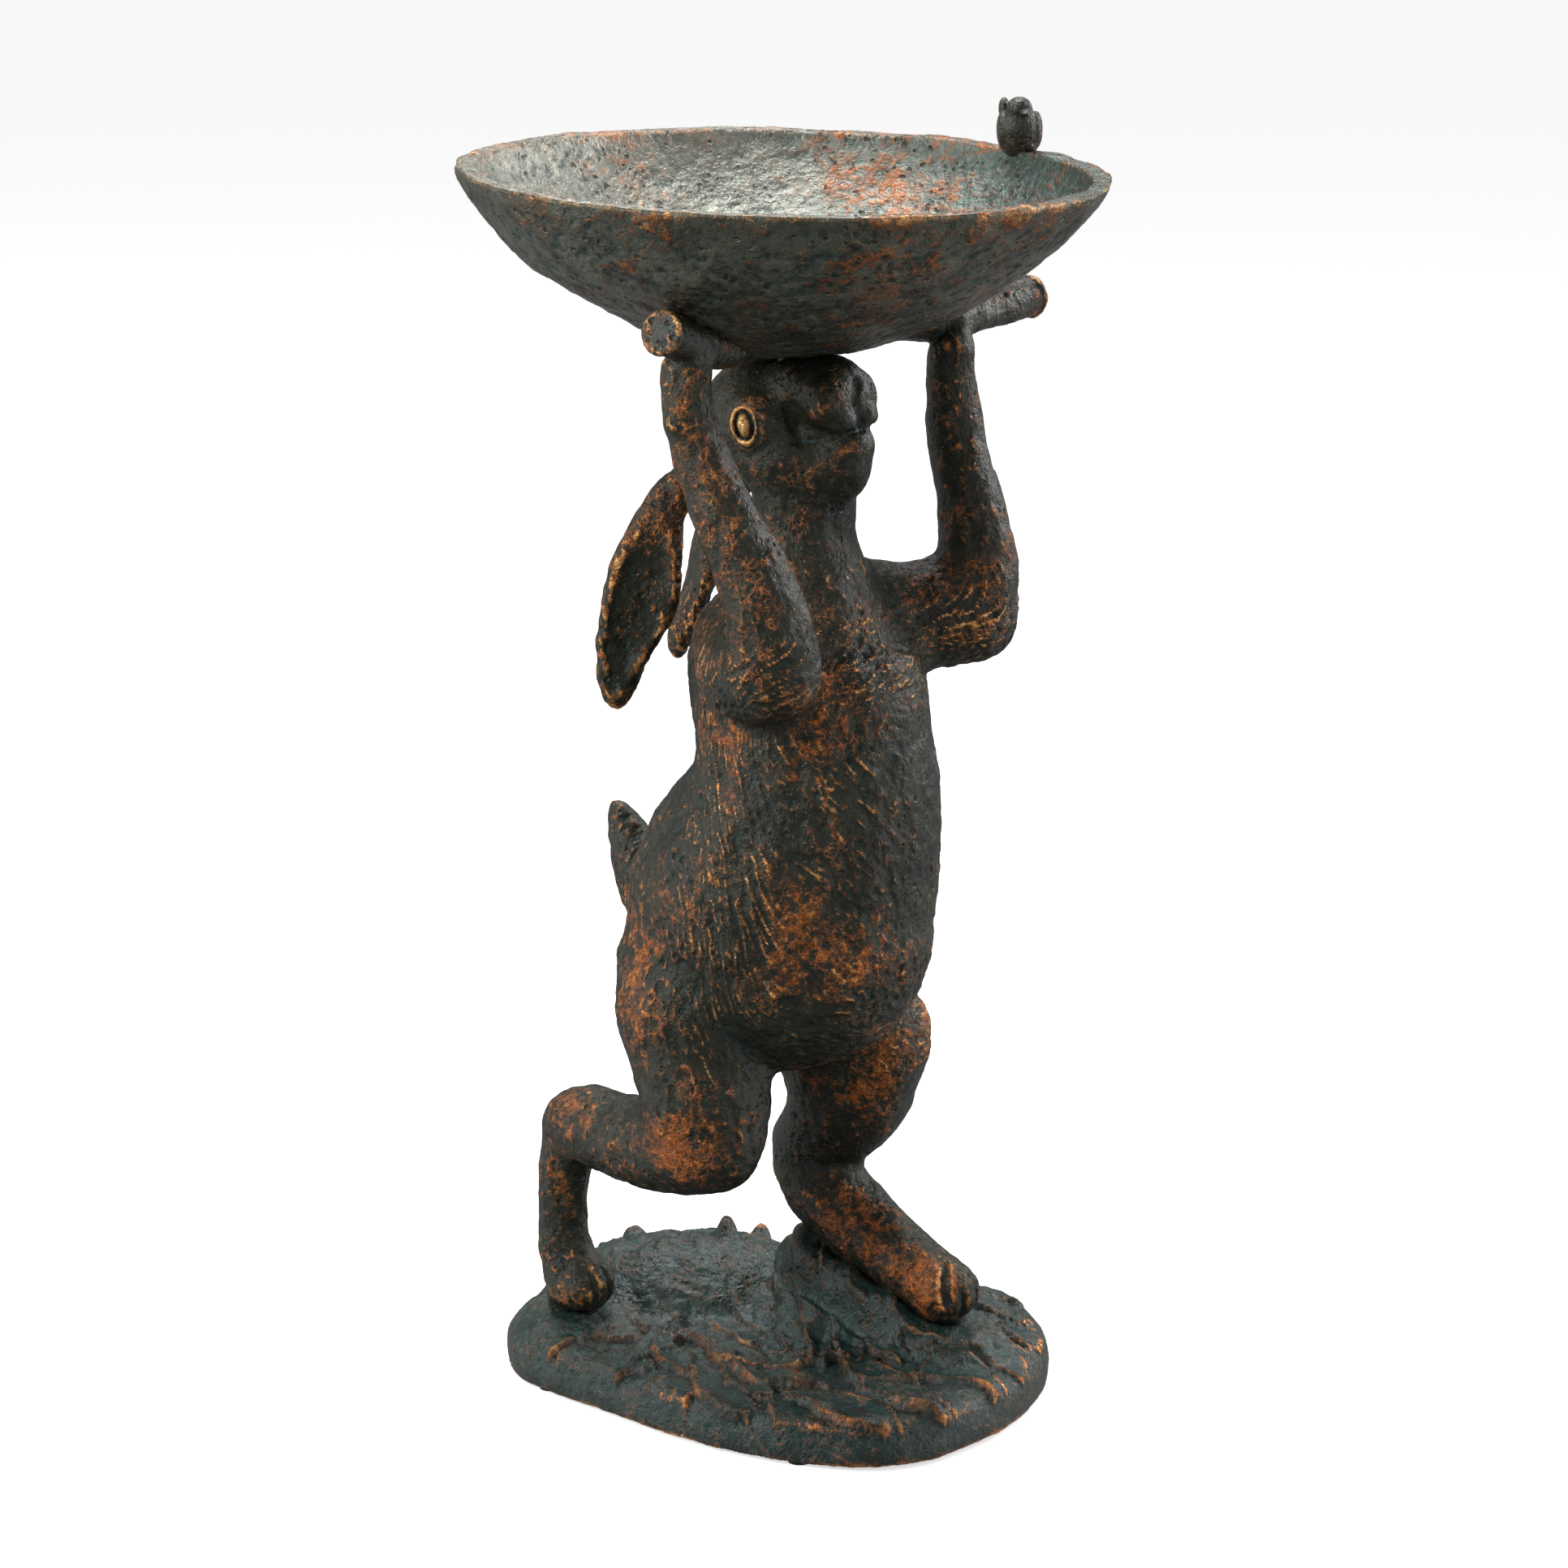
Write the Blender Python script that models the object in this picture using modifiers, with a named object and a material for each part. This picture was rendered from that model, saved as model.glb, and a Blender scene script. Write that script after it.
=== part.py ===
"""Bird bath: a lop-eared rabbit strides over a grassy mound and carries a round basin overhead.

The figure is an assembly of separate castings. Each limb is coped to the surface it meets, located by a
steel dowel and bonded; the feet are held by threaded rods with nuts and washers under the hollow mound.
Frame: metres, +Z up, origin on the ground under the basin's centre, display side towards -Y. Lengths in
the tables below are millimetres, in the rabbit's own axes: forward, left, up.
"""

import math

import bmesh
import bpy
from mathutils import Matrix, Vector

MM = 0.001

# Driving dimensions
BASIN_RADIUS = 147.5
BASIN_DEPTH = 84.0
BASIN_WALL = 8.0
RIM_HEIGHT = 590.0
BASIN_CURVE = 1.40                   # shape of the basin's turned outline, see basin_radius_at
BASIN_FULLNESS = 0.565
BASIN_TILT = math.radians(1.4)       # the rim stands a little higher on its -X side
SPIGOT_RADIUS = 7.0                  # the boss under the basin's middle, let into the branch and the head
SPIGOT_LENGTH = 14.0
HEADING = math.radians(-40)          # the rabbit walks towards +X and a little towards -Y
PAD_HEIGHT = 2.0
BASE_HEIGHT = 24.0
GLUE_GAP = 0.5                       # clearance between bonded castings
BORE_GAP = 0.35                      # radial clearance of a dowel in its bore

BRONZE_DARK = (0.045, 0.040, 0.032, 1)
BRONZE_GREEN = (0.040, 0.070, 0.062, 1)
STEEL = (0.55, 0.55, 0.56, 1)
FELT = (0.02, 0.02, 0.02, 1)


# ---------------------------------------------------------------- scene, materials, small helpers

def clear_scene():
    for obj in list(bpy.data.objects):
        bpy.data.objects.remove(obj)


def new_collection(name):
    collection = bpy.data.collections.new(name)
    bpy.context.scene.collection.children.link(collection)
    return collection


def material(name, colour, roughness, metallic):
    made = bpy.data.materials.new(name)
    made.use_nodes = True
    shader = made.node_tree.nodes["Principled BSDF"]
    shader.inputs["Base Color"].default_value = colour
    shader.inputs["Roughness"].default_value = roughness
    shader.inputs["Metallic"].default_value = metallic
    return made


def link(obj, collection):
    for old in list(obj.users_collection):
        old.objects.unlink(obj)
    collection.objects.link(obj)
    return obj


def evaluated_copy(obj, name, collection):
    """A plain mesh object holding obj's evaluated, world-space shape; obj itself is removed."""
    bpy.context.view_layer.update()
    graph = bpy.context.evaluated_depsgraph_get()
    mesh = bpy.data.meshes.new_from_object(obj.evaluated_get(graph))
    mesh.transform(obj.matrix_world)
    mesh.name = name
    bpy.data.objects.remove(obj)
    copy = bpy.data.objects.new(name, mesh)
    collection.objects.link(copy)
    return copy


def from_rabbit(forward, left, up):
    """World position of a point given in the rabbit's own axes, in millimetres."""
    return Matrix.Rotation(HEADING, 4, "Z") @ Vector((forward, left, up)) * MM


def from_world(x, y, z):
    return Vector((x, y, z)) * MM


# ---------------------------------------------------------------- organic building blocks

def ellipsoid(centre, radii, turn=(0, 0, 0), frame=from_rabbit):
    """A squashed sphere; turn is its own rotation in degrees, in the rabbit's or the world's axes."""
    bpy.ops.mesh.primitive_uv_sphere_add(segments=32, ring_count=16, radius=1)
    ball = bpy.context.object
    own = Matrix.Rotation(HEADING, 4, "Z") if frame is from_rabbit else Matrix.Identity(4)
    for angle, axis in zip(turn, "XYZ"):
        own = own @ Matrix.Rotation(math.radians(angle), 4, axis)
    scale = Matrix.Diagonal((*(r * MM for r in radii), 1))
    ball.matrix_world = Matrix.Translation(frame(*centre)) @ own @ scale
    return ball


def smooth_run(stations, steps=5):
    """Points of a Catmull-Rom curve through the stations; every number of a station is interpolated."""
    ends = [stations[0], *stations, stations[-1]]
    run = []
    for before, start, end, after in zip(ends, ends[1:], ends[2:], ends[3:]):
        for step in range(steps):
            t = step / steps
            run.append([
                b + 0.5 * t * (c - a + t * (2 * a - 5 * b + 4 * c - d + t * (3 * b - a - 3 * c + d)))
                for a, b, c, d in zip(before, start, end, after)
            ])
    return [*run, stations[-1]]


def limb(stations, frame=from_rabbit):
    """A tapered round limb: a curve with a radius at each station (three places and a radius), round ends."""
    curve = bpy.data.curves.new("limb", "CURVE")
    curve.dimensions = "3D"
    curve.bevel_depth = MM
    curve.bevel_resolution = 6
    curve.use_fill_caps = True
    run = smooth_run(stations)
    spline = curve.splines.new("POLY")
    spline.points.add(len(run) - 1)
    for point, (a, b, c, radius) in zip(spline.points, run):
        point.co = (*frame(a, b, c), 1)
        point.radius = radius
    tube = bpy.data.objects.new("limb", curve)
    bpy.context.scene.collection.objects.link(tube)
    ends = [ellipsoid(end[:3], [end[3]] * 3, frame=frame) for end in (stations[0], stations[-1])]
    return [tube, *ends]


def fuse(name, shapes, collection, voxel=4.0, smoothing=6, triangles=1200):
    """One closed casting from overlapping shapes: voxel remesh, smoothing, then fewer triangles."""
    meshes = []
    for shape in shapes:
        meshes.append(evaluated_copy(shape, "shape", collection))
    joined = bmesh.new()
    for shape in meshes:
        joined.from_mesh(shape.data)
        bpy.data.objects.remove(shape)
    mesh = bpy.data.meshes.new(name)
    joined.to_mesh(mesh)
    joined.free()
    body = bpy.data.objects.new(name, mesh)
    collection.objects.link(body)
    remesh = body.modifiers.new("fuse", "REMESH")
    remesh.mode = "VOXEL"
    remesh.voxel_size = voxel * MM
    smooth = body.modifiers.new("blend", "SMOOTH")
    smooth.factor = 0.5
    smooth.iterations = smoothing
    body = evaluated_copy(body, name, collection)
    thin = body.modifiers.new("fewer faces", "DECIMATE")
    thin.ratio = min(1.0, triangles / (2 * len(body.data.polygons)))
    body.modifiers.new("flat faces", "TRIANGULATE")
    return evaluated_copy(body, name, collection)


def grown(obj, by, collection):
    """A copy of obj whose surface is moved outwards, for cutting clearance into its neighbours."""
    copy = bpy.data.objects.new(obj.name + "_grown", obj.data.copy())
    collection.objects.link(copy)
    swell = copy.modifiers.new("clearance", "DISPLACE")
    swell.mid_level = 0
    swell.strength = by * MM
    copy = evaluated_copy(copy, obj.name + "_grown", collection)
    hide(copy)
    return copy


def hide(cutter):
    cutter.hide_render = True
    cutter.display_type = "WIRE"


def boolean(obj, other, operation, collection):
    cut = obj.modifiers.new(operation.lower(), "BOOLEAN")
    cut.operation = operation
    cut.solver = "EXACT"
    cut.object = other
    return evaluated_copy(obj, obj.name, collection)


def largest_body(obj):
    """Removes the loose slivers that a cut can leave beside the casting."""
    shape = bmesh.new()
    shape.from_mesh(obj.data)
    left = set(shape.verts)
    bodies = []
    while left:
        found, queue = set(), [left.pop()]
        while queue:
            vertex = queue.pop()
            found.add(vertex)
            near = {edge.other_vert(vertex) for edge in vertex.link_edges} & left
            left -= near
            queue.extend(near)
        bodies.append(found)
    bodies.sort(key=len)
    for body in bodies[:-1]:
        bmesh.ops.delete(shape, geom=list(body), context="VERTS")
    shape.to_mesh(obj.data)
    shape.free()
    return obj


def cylinder(name, collection, start, end, radius, sides=20):
    """A round bar between two world points."""
    bpy.ops.mesh.primitive_cylinder_add(vertices=sides, radius=radius * MM, depth=(end - start).length)
    bar = bpy.context.object
    turn = (end - start).to_track_quat("Z", "Y").to_matrix().to_4x4()
    bar.matrix_world = Matrix.Translation((start + end) / 2) @ turn
    return link(evaluated_copy(bar, name, collection), collection)


def paint(obj, made):
    obj.data.materials.clear()
    obj.data.materials.append(made)
    obj.data.shade_smooth()
    obj.data.set_sharp_from_angle(angle=math.radians(40))
    return obj


# ---------------------------------------------------------------- basin

def basin_radius_at(depth):
    """Outer radius of the basin at a depth below the rim."""
    return BASIN_RADIUS * (1 - (depth / BASIN_DEPTH) ** BASIN_CURVE) ** BASIN_FULLNESS


def turned(name, collection, outline, sides=44):
    """A profile of (radius, height) points, in millimetres, turned about the Z axis."""
    profile = bmesh.new()
    points = [profile.verts.new((r * MM, 0, z * MM)) for r, z in outline]
    for a, b in zip(points, points[1:]):
        profile.edges.new((a, b))
    mesh = bpy.data.meshes.new(name)
    profile.to_mesh(mesh)
    profile.free()
    body = bpy.data.objects.new(name, mesh)
    collection.objects.link(body)
    screw = body.modifiers.new("turn", "SCREW")
    screw.steps = screw.render_steps = sides
    screw.use_merge_vertices = True
    screw.merge_threshold = 0.0001
    return body


def basin_outline():
    """The inner wall upwards, over the flat rim, and down the outer wall to the spigot under the middle."""
    depths = [BASIN_DEPTH * math.sin(math.pi / 2 * i / 9) for i in range(10)]
    outer = [(basin_radius_at(d), RIM_HEIGHT - d) for d in depths if basin_radius_at(d) > SPIGOT_RADIUS]
    inner_scale = 1 - BASIN_WALL / BASIN_RADIUS
    inner_depth = BASIN_DEPTH - BASIN_WALL
    inner = [
        (basin_radius_at(d) * inner_scale, RIM_HEIGHT - d * inner_depth / BASIN_DEPTH)
        for d in reversed(depths)
    ]
    low = outer[-1][1]
    spigot = [(SPIGOT_RADIUS, low), (SPIGOT_RADIUS, low - SPIGOT_LENGTH), (0, low - SPIGOT_LENGTH)]
    return [(0, inner[0][1]), *inner[1:], *outer, *spigot]


def make_basin(collection):
    basin = turned("basin", collection, basin_outline())
    centre = Vector((0, 0, RIM_HEIGHT * MM))
    basin.matrix_world = (
        Matrix.Translation(centre) @ Matrix.Rotation(BASIN_TILT, 4, "Y") @ Matrix.Translation(-centre)
    )
    return evaluated_copy(basin, "basin", collection)


# ---------------------------------------------------------------- rabbit castings

def make_torso(collection):
    wide = 0.92                       # the trunk is deeper front to back than side to side
    deep = 1.05
    spine = [
        (13, 0, 398, 30), (13, 0, 386, 43), (12, 0, 370, 54), (16, 0, 350, 55), (19, 0, 331, 55),
        (20, 0, 312, 58), (17, 0, 292, 63), (9, 0, 271, 69), (0, 0, 250, 73), (-2, 0, 234, 72),
    ]
    shapes = limb([(f / deep, left / wide, up, r) for f, left, up, r in spine])
    bpy.data.objects.remove(shapes.pop())
    shapes.append(ellipsoid((-2, 0, 234), (72, 72, 67)))
    turn = Matrix.Rotation(HEADING, 4, "Z")
    stretch = turn @ Matrix.Diagonal((deep, wide, 1, 1)) @ turn.inverted()
    bpy.context.view_layer.update()
    for shape in shapes:
        shape.matrix_world = stretch @ shape.matrix_world
    shapes.append(ellipsoid((10, -34, 378), (30, 26, 28)))
    shapes.append(ellipsoid((20, 36, 382), (28, 26, 26)))
    shapes.append(ellipsoid((-20, -30, 214), (48, 40, 44)))
    shapes.append(ellipsoid((-8, 30, 214), (46, 36, 42)))
    return fuse("torso", shapes, collection, triangles=900)


def make_head(collection):
    """The head is thrown back under the basin, so the nose points forwards and up; the neck belongs to it."""
    shapes = [
        ellipsoid((-9, 0, 477), (33, 31, 29), (0, -12, 0)),
        ellipsoid((14, 0, 492), (26, 22, 17), (0, -14, 0)),
        ellipsoid((24, 0, 486), (21, 17, 17), (0, -14, 0)),
        ellipsoid((31, 0, 463), (16, 12, 11), (0, -10, 0)),
        ellipsoid((38, 0, 470.5), (11, 9, 5), (0, -20, 0)),
    ]
    for side in (-1, 1):
        shapes.append(ellipsoid((3, 24 * side, 480), (16, 12, 14)))
        shapes.append(ellipsoid((8, 16 * side, 462), (22, 15, 18)))
        shapes.append(ellipsoid((33, 8 * side, 490), (12.5, 10, 14)))
    shapes += limb([(13, 0, 458, 25), (12, 0, 436, 24), (11, 0, 420, 26), (13, 0, 400, 33), (14, 0, 384, 37)])
    return fuse("head", shapes, collection, voxel=3.0, smoothing=4, triangles=900)


def make_right_arm(collection):
    upper = limb([(8, -36, 374, 26), (34, -58, 374, 26), (55, -72, 379, 22)])
    lower = limb([
        (55, -73, 380, 22), (54, -77, 408, 19), (39, -83, 444, 15.5), (23, -87, 479, 13), (18, -89, 504, 12),
        (17, -89, 512, 12),
    ])
    return fuse("right_arm", upper + lower, collection, triangles=460)


def make_left_arm(collection):
    upper = limb([(18, 36, 380, 26), (38, 56, 380, 26), (54, 70, 380, 23)])
    lower = limb([
        (55, 72, 380, 22), (56, 74, 402, 19), (52, 76, 420, 17.5), (46, 78, 438, 16), (39, 79, 456, 14.5),
        (36, 79, 474, 13.5), (35, 79, 493, 12), (36, 78, 502, 12),
    ])
    return fuse("left_arm", upper + lower, collection, triangles=460)


def make_right_leg(collection):
    thigh = limb([(-20, -38, 200, 40), (-14, -43, 172, 33), (-9, -45, 152, 31), (-6, -46, 139, 26)])
    shank = limb([
        (-6, -46, 138, 25), (-34, -46, 130, 23), (-64, -45, 128, 21), (-84, -45, 131, 19),
        (-94, -45, 131, 15),
    ])
    foot = limb([
        (-95, -45, 130, 15), (-99, -45, 112, 14), (-102, -45, 84, 12.5), (-101, -45, 64, 13.5),
        (-96, -45, 52, 15), (-89, -45, 48, 15),
    ])
    foot.append(ellipsoid((-90, -45, 46), (18, 17, 13)))
    return fuse("right_leg", thigh + shank + foot, collection, triangles=720)


def make_left_leg(collection):
    thigh = limb([(-2, 34, 205, 38), (0, 39, 182, 37), (3, 42, 162, 34), (3, 43, 150, 30)])
    thigh += limb([(8, 40, 186, 30), (20, 44, 174, 28)])
    shank = limb([
        (19, 44, 172, 28), (4, 44, 140, 29), (-10, 43, 122, 23), (-18, 42, 108, 20.5), (-11, 41, 93, 20),
    ])
    foot = limb([(-11, 41, 93, 20), (10, 41, 80, 20), (32, 41, 70, 18), (52, 41, 61, 17), (66, 41, 56, 17)])
    return fuse("left_leg", thigh + shank + foot, collection, triangles=720)


def make_right_ear(collection):
    """The right ear hangs beside the neck and is turned flat to the front of the bath."""
    return make_ear(collection, "right_ear", 40, [
        (-26, -18, 452, 13, 12), (-37, -28, 444, 12, 10), (-42, -40, 430, 13, 8), (-43, -47, 409, 19, 7.5),
        (-46, -49, 389, 19.5, 7), (-54, -50, 370, 15.5, 7), (-58, -51, 354, 11, 6.5),
        (-59, -51, 345, 6.5, 5.5),
    ])


def make_left_ear(collection):
    return make_ear(collection, "left_ear", -40, [
        (-28, 16, 452, 13, 12), (-43, 20, 444, 14, 10), (-56, 22, 424, 17, 8), (-65, 23, 404, 20, 7.5),
        (-71, 23, 386, 19, 7), (-77, 22, 370, 14, 7), (-82, 21, 358, 9, 6.5), (-83, 20, 353, 6.5, 5.5),
    ])


def make_ear(collection, name, turn, stations):
    """A drooping leaf: forward, left, up, half width and half thickness, turned by degrees about Z."""
    shapes = []
    for f, left, up, half_width, half_thick in smooth_run(stations, steps=4):
        shapes.append(ellipsoid((f, left, up), (half_width, half_thick, 9), (0, 0, turn)))
    return fuse(name, shapes, collection, voxel=3.0, smoothing=5, triangles=260)


def make_tail(collection):
    shapes = limb([
        (-74, 0, 226, 15), (-84, 0, 236, 15), (-92, 0, 252, 13), (-100, 0, 266, 9), (-106, 0, 277, 4),
    ])
    return fuse("tail", shapes, collection, voxel=3.0, smoothing=3, triangles=150)


# ---------------------------------------------------------------- branch stubs and bird

def make_branch(collection, name, stations):
    """A stub of cut branch with flat ends, held by one paw; its inner end fairs into the basin."""
    shapes = limb(stations)
    for ball in shapes[1:]:
        bpy.data.objects.remove(ball)
    return fuse(name, shapes[:1], collection, voxel=2.5, smoothing=2, triangles=220)


def make_right_branch(collection):
    return make_branch(collection, "right_branch", [
        (24, -112, 533, 10), (19, -84, 525, 10.5), (13, -58, 519, 11), (6, -32, 520, 10),
    ])


def make_left_branch(collection):
    return make_branch(collection, "left_branch", [
        (10, 36, 518, 9), (18, 56, 516, 9.5), (28, 82, 514, 10), (30, 116, 516, 9.5), (32, 144, 518, 9.5),
    ])


BIRD_PLACE = (110.5, 93.5, 584.5)
BIRD_DOWEL_FROM_AXIS = 142.0


def make_bird(collection):
    x, y, z = BIRD_PLACE

    def lump(dx, dy, dz, radii, turn=(0, 0, 0)):
        return ellipsoid((x + dx, y + dy, z + dz), radii, turn, frame=from_world)

    shapes = [
        lump(0, 1, 12, (10.5, 13, 11.5), (-24, 0, 0)),
        lump(0.5, -6, 23, (7, 7.5, 6.5)),
        lump(1, -13.5, 22.3, (2.6, 4.5, 1.8), (10, 0, 0)),
        lump(-4, 14, 21, (4, 9, 3), (38, 0, 14)),
        lump(0, -1, 3, (8, 9, 7)),
    ]
    shapes += [lump(9 * side, 2, 13, (3, 9.5, 7.5), (-30, 0, 0)) for side in (-1, 1)]
    return fuse("bird", shapes, collection, voxel=1.2, smoothing=3, triangles=360)


# ---------------------------------------------------------------- base

BASE_OUTLINE = [
    (-136, 48), (-122, 6), (-84, -32), (-40, -70), (8, -94), (50, -98), (94, -66), (122, -18), (128, 30),
    (112, 76), (66, 104), (8, 114), (-52, 114), (-106, 96),
]


def slab(name, collection, inset, low, high, rounding):
    """The mound's outline, drawn in from the edge by inset, between two heights, as a bevelled 2D curve."""
    curve = bpy.data.curves.new(name, "CURVE")
    curve.dimensions = "2D"
    curve.fill_mode = "BOTH"
    curve.resolution_u = 4
    curve.extrude = (high - low - 2 * rounding) / 2 * MM
    curve.bevel_depth = rounding * MM
    curve.bevel_resolution = 3
    curve.offset = -(rounding + inset) * MM
    spline = curve.splines.new("BEZIER")
    spline.bezier_points.add(len(BASE_OUTLINE) - 1)
    for point, (x, y) in zip(spline.bezier_points, BASE_OUTLINE):
        point.co = (x * MM, y * MM, 0)
        point.handle_left_type = point.handle_right_type = "AUTO"
    spline.use_cyclic_u = True
    body = bpy.data.objects.new(name, curve)
    body.location.z = (low + high) / 2 * MM
    collection.objects.link(body)
    return body


def make_base(collection, cutters):
    shapes = [
        slab("slab", collection, 0, -8, BASE_HEIGHT, 9),
        ellipsoid((-44, 70, 14), (78, 46, 40), frame=from_world),
        ellipsoid((-100, 30, 12), (36, 38, 24), frame=from_world),
        ellipsoid((40, 40, 12), (70, 56, 32), frame=from_world),
        ellipsoid((74, -2, 16), (40, 34, 26), frame=from_world),
        ellipsoid((12, 40, 40), (15, 13, 36), (0, 14, 0), frame=from_world),
    ]
    shapes += limb([(-10, 41, 46, 20), (16, 42, 42, 25), (46, 42, 30, 24), (70, 41, 20, 22)])
    base = fuse("base", shapes, collection, voxel=4.5, smoothing=4, triangles=1100)
    bpy.ops.mesh.primitive_cube_add(size=1)
    below = bpy.context.object
    below.scale = (0.4, 0.4, 0.1)
    below.location.z = PAD_HEIGHT * MM - 0.05
    below = evaluated_copy(below, "below", cutters)
    hide(below)
    base = boolean(base, below, "DIFFERENCE", collection)
    hollow = evaluated_copy(slab("hollow", cutters, 12, -10, 12, 3), "hollow", cutters)
    weld(hollow)
    hide(hollow)
    return boolean(base, hollow, "DIFFERENCE", collection)


def weld(obj):
    shape = bmesh.new()
    shape.from_mesh(obj.data)
    bmesh.ops.remove_doubles(shape, verts=shape.verts, dist=0.00001)
    bmesh.ops.recalc_face_normals(shape, faces=shape.faces)
    shape.to_mesh(obj.data)
    shape.free()


# ---------------------------------------------------------------- dowels, rods, nuts, washers, pads

def nut(name, collection, centre, across_flats, bore_radius, thickness):
    """A plain hexagon nut; its thread is a plain bore."""
    bpy.ops.mesh.primitive_cylinder_add(
        vertices=6, radius=across_flats / math.sqrt(3) * MM, depth=thickness * MM, location=centre
    )
    body = evaluated_copy(bpy.context.object, name, collection)
    reach = Vector((0, 0, 0.02))
    hole = cylinder(name + "_hole", collection, centre - reach, centre + reach, bore_radius)
    body = boolean(body, hole, "DIFFERENCE", collection)
    bpy.data.objects.remove(hole)
    return body


def washer(name, collection, centre, outer_radius, bore_radius, thickness):
    low, high = -thickness / 2, thickness / 2
    outline = [(bore_radius, low), (bore_radius, high), (outer_radius, high), (outer_radius, low)]
    ring = turned(name, collection, [*outline, outline[0]], sides=24)
    ring.location = centre
    ring = evaluated_copy(ring, name, collection)
    weld(ring)
    return ring


# name, end inside one casting, end inside the other, radius, the two castings; rabbit axes, millimetres
DOWELS = [
    ("neck_dowel", (13, 0, 362), (12, 0, 428), 5.0, "torso", "head"),
    ("right_shoulder_dowel", (4, -22, 376), (31, -57, 375), 4.0, "torso", "right_arm"),
    ("left_shoulder_dowel", (14, 20, 380), (38, 56, 380), 4.0, "torso", "left_arm"),
    ("right_hip_dowel", (-16, -32, 200), (-9, -45, 143), 5.0, "torso", "right_leg"),
    ("left_hip_dowel", (-4, 26, 210), (17, 43, 166), 5.0, "torso", "left_leg"),
    ("right_ear_dowel", (-18, -14, 462), (-38, -27, 443), 2.0, "head", "right_ear"),
    ("left_ear_dowel", (-22, 12, 462), (-43, 20, 440), 2.0, "head", "left_ear"),
    ("tail_dowel", (-56, 0, 226), (-90, 0, 246), 3.0, "torso", "tail"),
    ("right_paw_dowel", (20, -89, 492), (22.5, -89, 525), 2.5, "right_arm", "right_branch"),
    ("left_paw_dowel", (35, 79, 486), (33, 81, 515), 2.5, "left_arm", "left_branch"),
    ("right_branch_dowel", (16, -70, 515), (16, -70, 528), 2.0, "right_branch", "basin"),
    ("left_branch_dowel", (19, 60, 509.5), (19, 60, 523), 2.0, "left_branch", "basin"),
    ("basin_dowel", (0, 0, 462), (0, 0, 504), 3.0, "head", "basin"),
]

# name, place of the rod over the ground in rabbit axes, its top, the leg it holds
RODS = [
    ("right_leg", (-100, -45), 92.0),
    ("left_leg", (14, 41), 84.0),
]
ROD_RADIUS = 3.0
ROD_FOOT = 3.4
HOLLOW_TOP = 12.0
WASHER_THICKNESS = 1.6
NUT_THICKNESS = 5.0
PAD_RADIUS = 5.5
PAD_CORNERS = (1, 4, 7, 10, 13)


def fit_bar(parts, cutters, name, start, end, radius, owners, nodes, gap=BORE_GAP):
    """A steel bar between two points, and a blind bore for it in each casting that it enters."""
    along = (end - start).normalized() * 0.4 * MM
    bore = cylinder(name + "_bore", cutters, start - along, end + along, radius + gap)
    hide(bore)
    for owner in owners:
        nodes[owner] = boolean(nodes[owner], bore, "DIFFERENCE", parts)
    nodes[name] = cylinder(name, parts, start, end, radius, sides=12)


def fit_rods(parts, cutters, nodes):
    for leg, (forward, left), top in RODS:
        low = from_rabbit(forward, left, ROD_FOOT)
        high = from_rabbit(forward, left, top)
        fit_bar(parts, cutters, leg + "_rod", low, high, ROD_RADIUS, (leg, "base"), nodes)
        seat = HOLLOW_TOP - 0.3 - WASHER_THICKNESS / 2
        nodes[leg + "_washer"] = washer(
            leg + "_washer", parts, from_rabbit(forward, left, seat), 9.0, ROD_RADIUS + 0.3, WASHER_THICKNESS
        )
        low_face = seat - WASHER_THICKNESS / 2 - 0.2 - NUT_THICKNESS / 2
        nodes[leg + "_nut"] = nut(
            leg + "_nut", parts, from_rabbit(forward, left, low_face), 10.0, ROD_RADIUS + 0.1, NUT_THICKNESS
        )


def fit_pads(parts, nodes):
    """Felt pads under the mound's lower edge, the parts that touch the ground."""
    for number, corner in enumerate(PAD_CORNERS, start=1):
        edge = Vector((*BASE_OUTLINE[corner], 0))
        middle = Vector((0, 10, 0))
        spot = edge + (middle - edge).normalized() * 9.5
        name = f"pad_{number}"
        low = from_world(spot.x, spot.y, 0)
        nodes[name] = cylinder(name, parts, low, low + from_world(0, 0, PAD_HEIGHT - 0.3), PAD_RADIUS)


# ---------------------------------------------------------------- assembly

def cope_all(nodes, parts, cutters):
    """Cuts the end of each casting to the uncut shape of its neighbour, less the glue gap."""
    met = dict.fromkeys(onto for _, onto in COPED)
    neighbours = {name: grown(nodes[name], GLUE_GAP, cutters) for name in met}
    for name, onto in COPED:
        nodes[name] = largest_body(boolean(nodes[name], neighbours[onto], "DIFFERENCE", parts))


# each casting is cut where it meets the second one
COPED = [
    ("right_branch", "basin"), ("left_branch", "basin"), ("head", "basin"), ("head", "right_branch"),
    ("head", "left_branch"), ("head", "torso"), ("right_arm", "torso"), ("left_arm", "torso"),
    ("right_arm", "right_branch"), ("left_arm", "left_branch"),
    ("right_arm", "basin"), ("left_arm", "basin"),
    ("right_ear", "head"), ("left_ear", "head"), ("right_ear", "torso"), ("left_ear", "torso"),
    ("right_ear", "right_arm"), ("head", "right_arm"),
    ("right_leg", "torso"), ("left_leg", "torso"), ("left_leg", "right_leg"), ("tail", "torso"),
    ("base", "right_leg"), ("base", "left_leg"), ("bird", "basin"),
]


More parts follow.
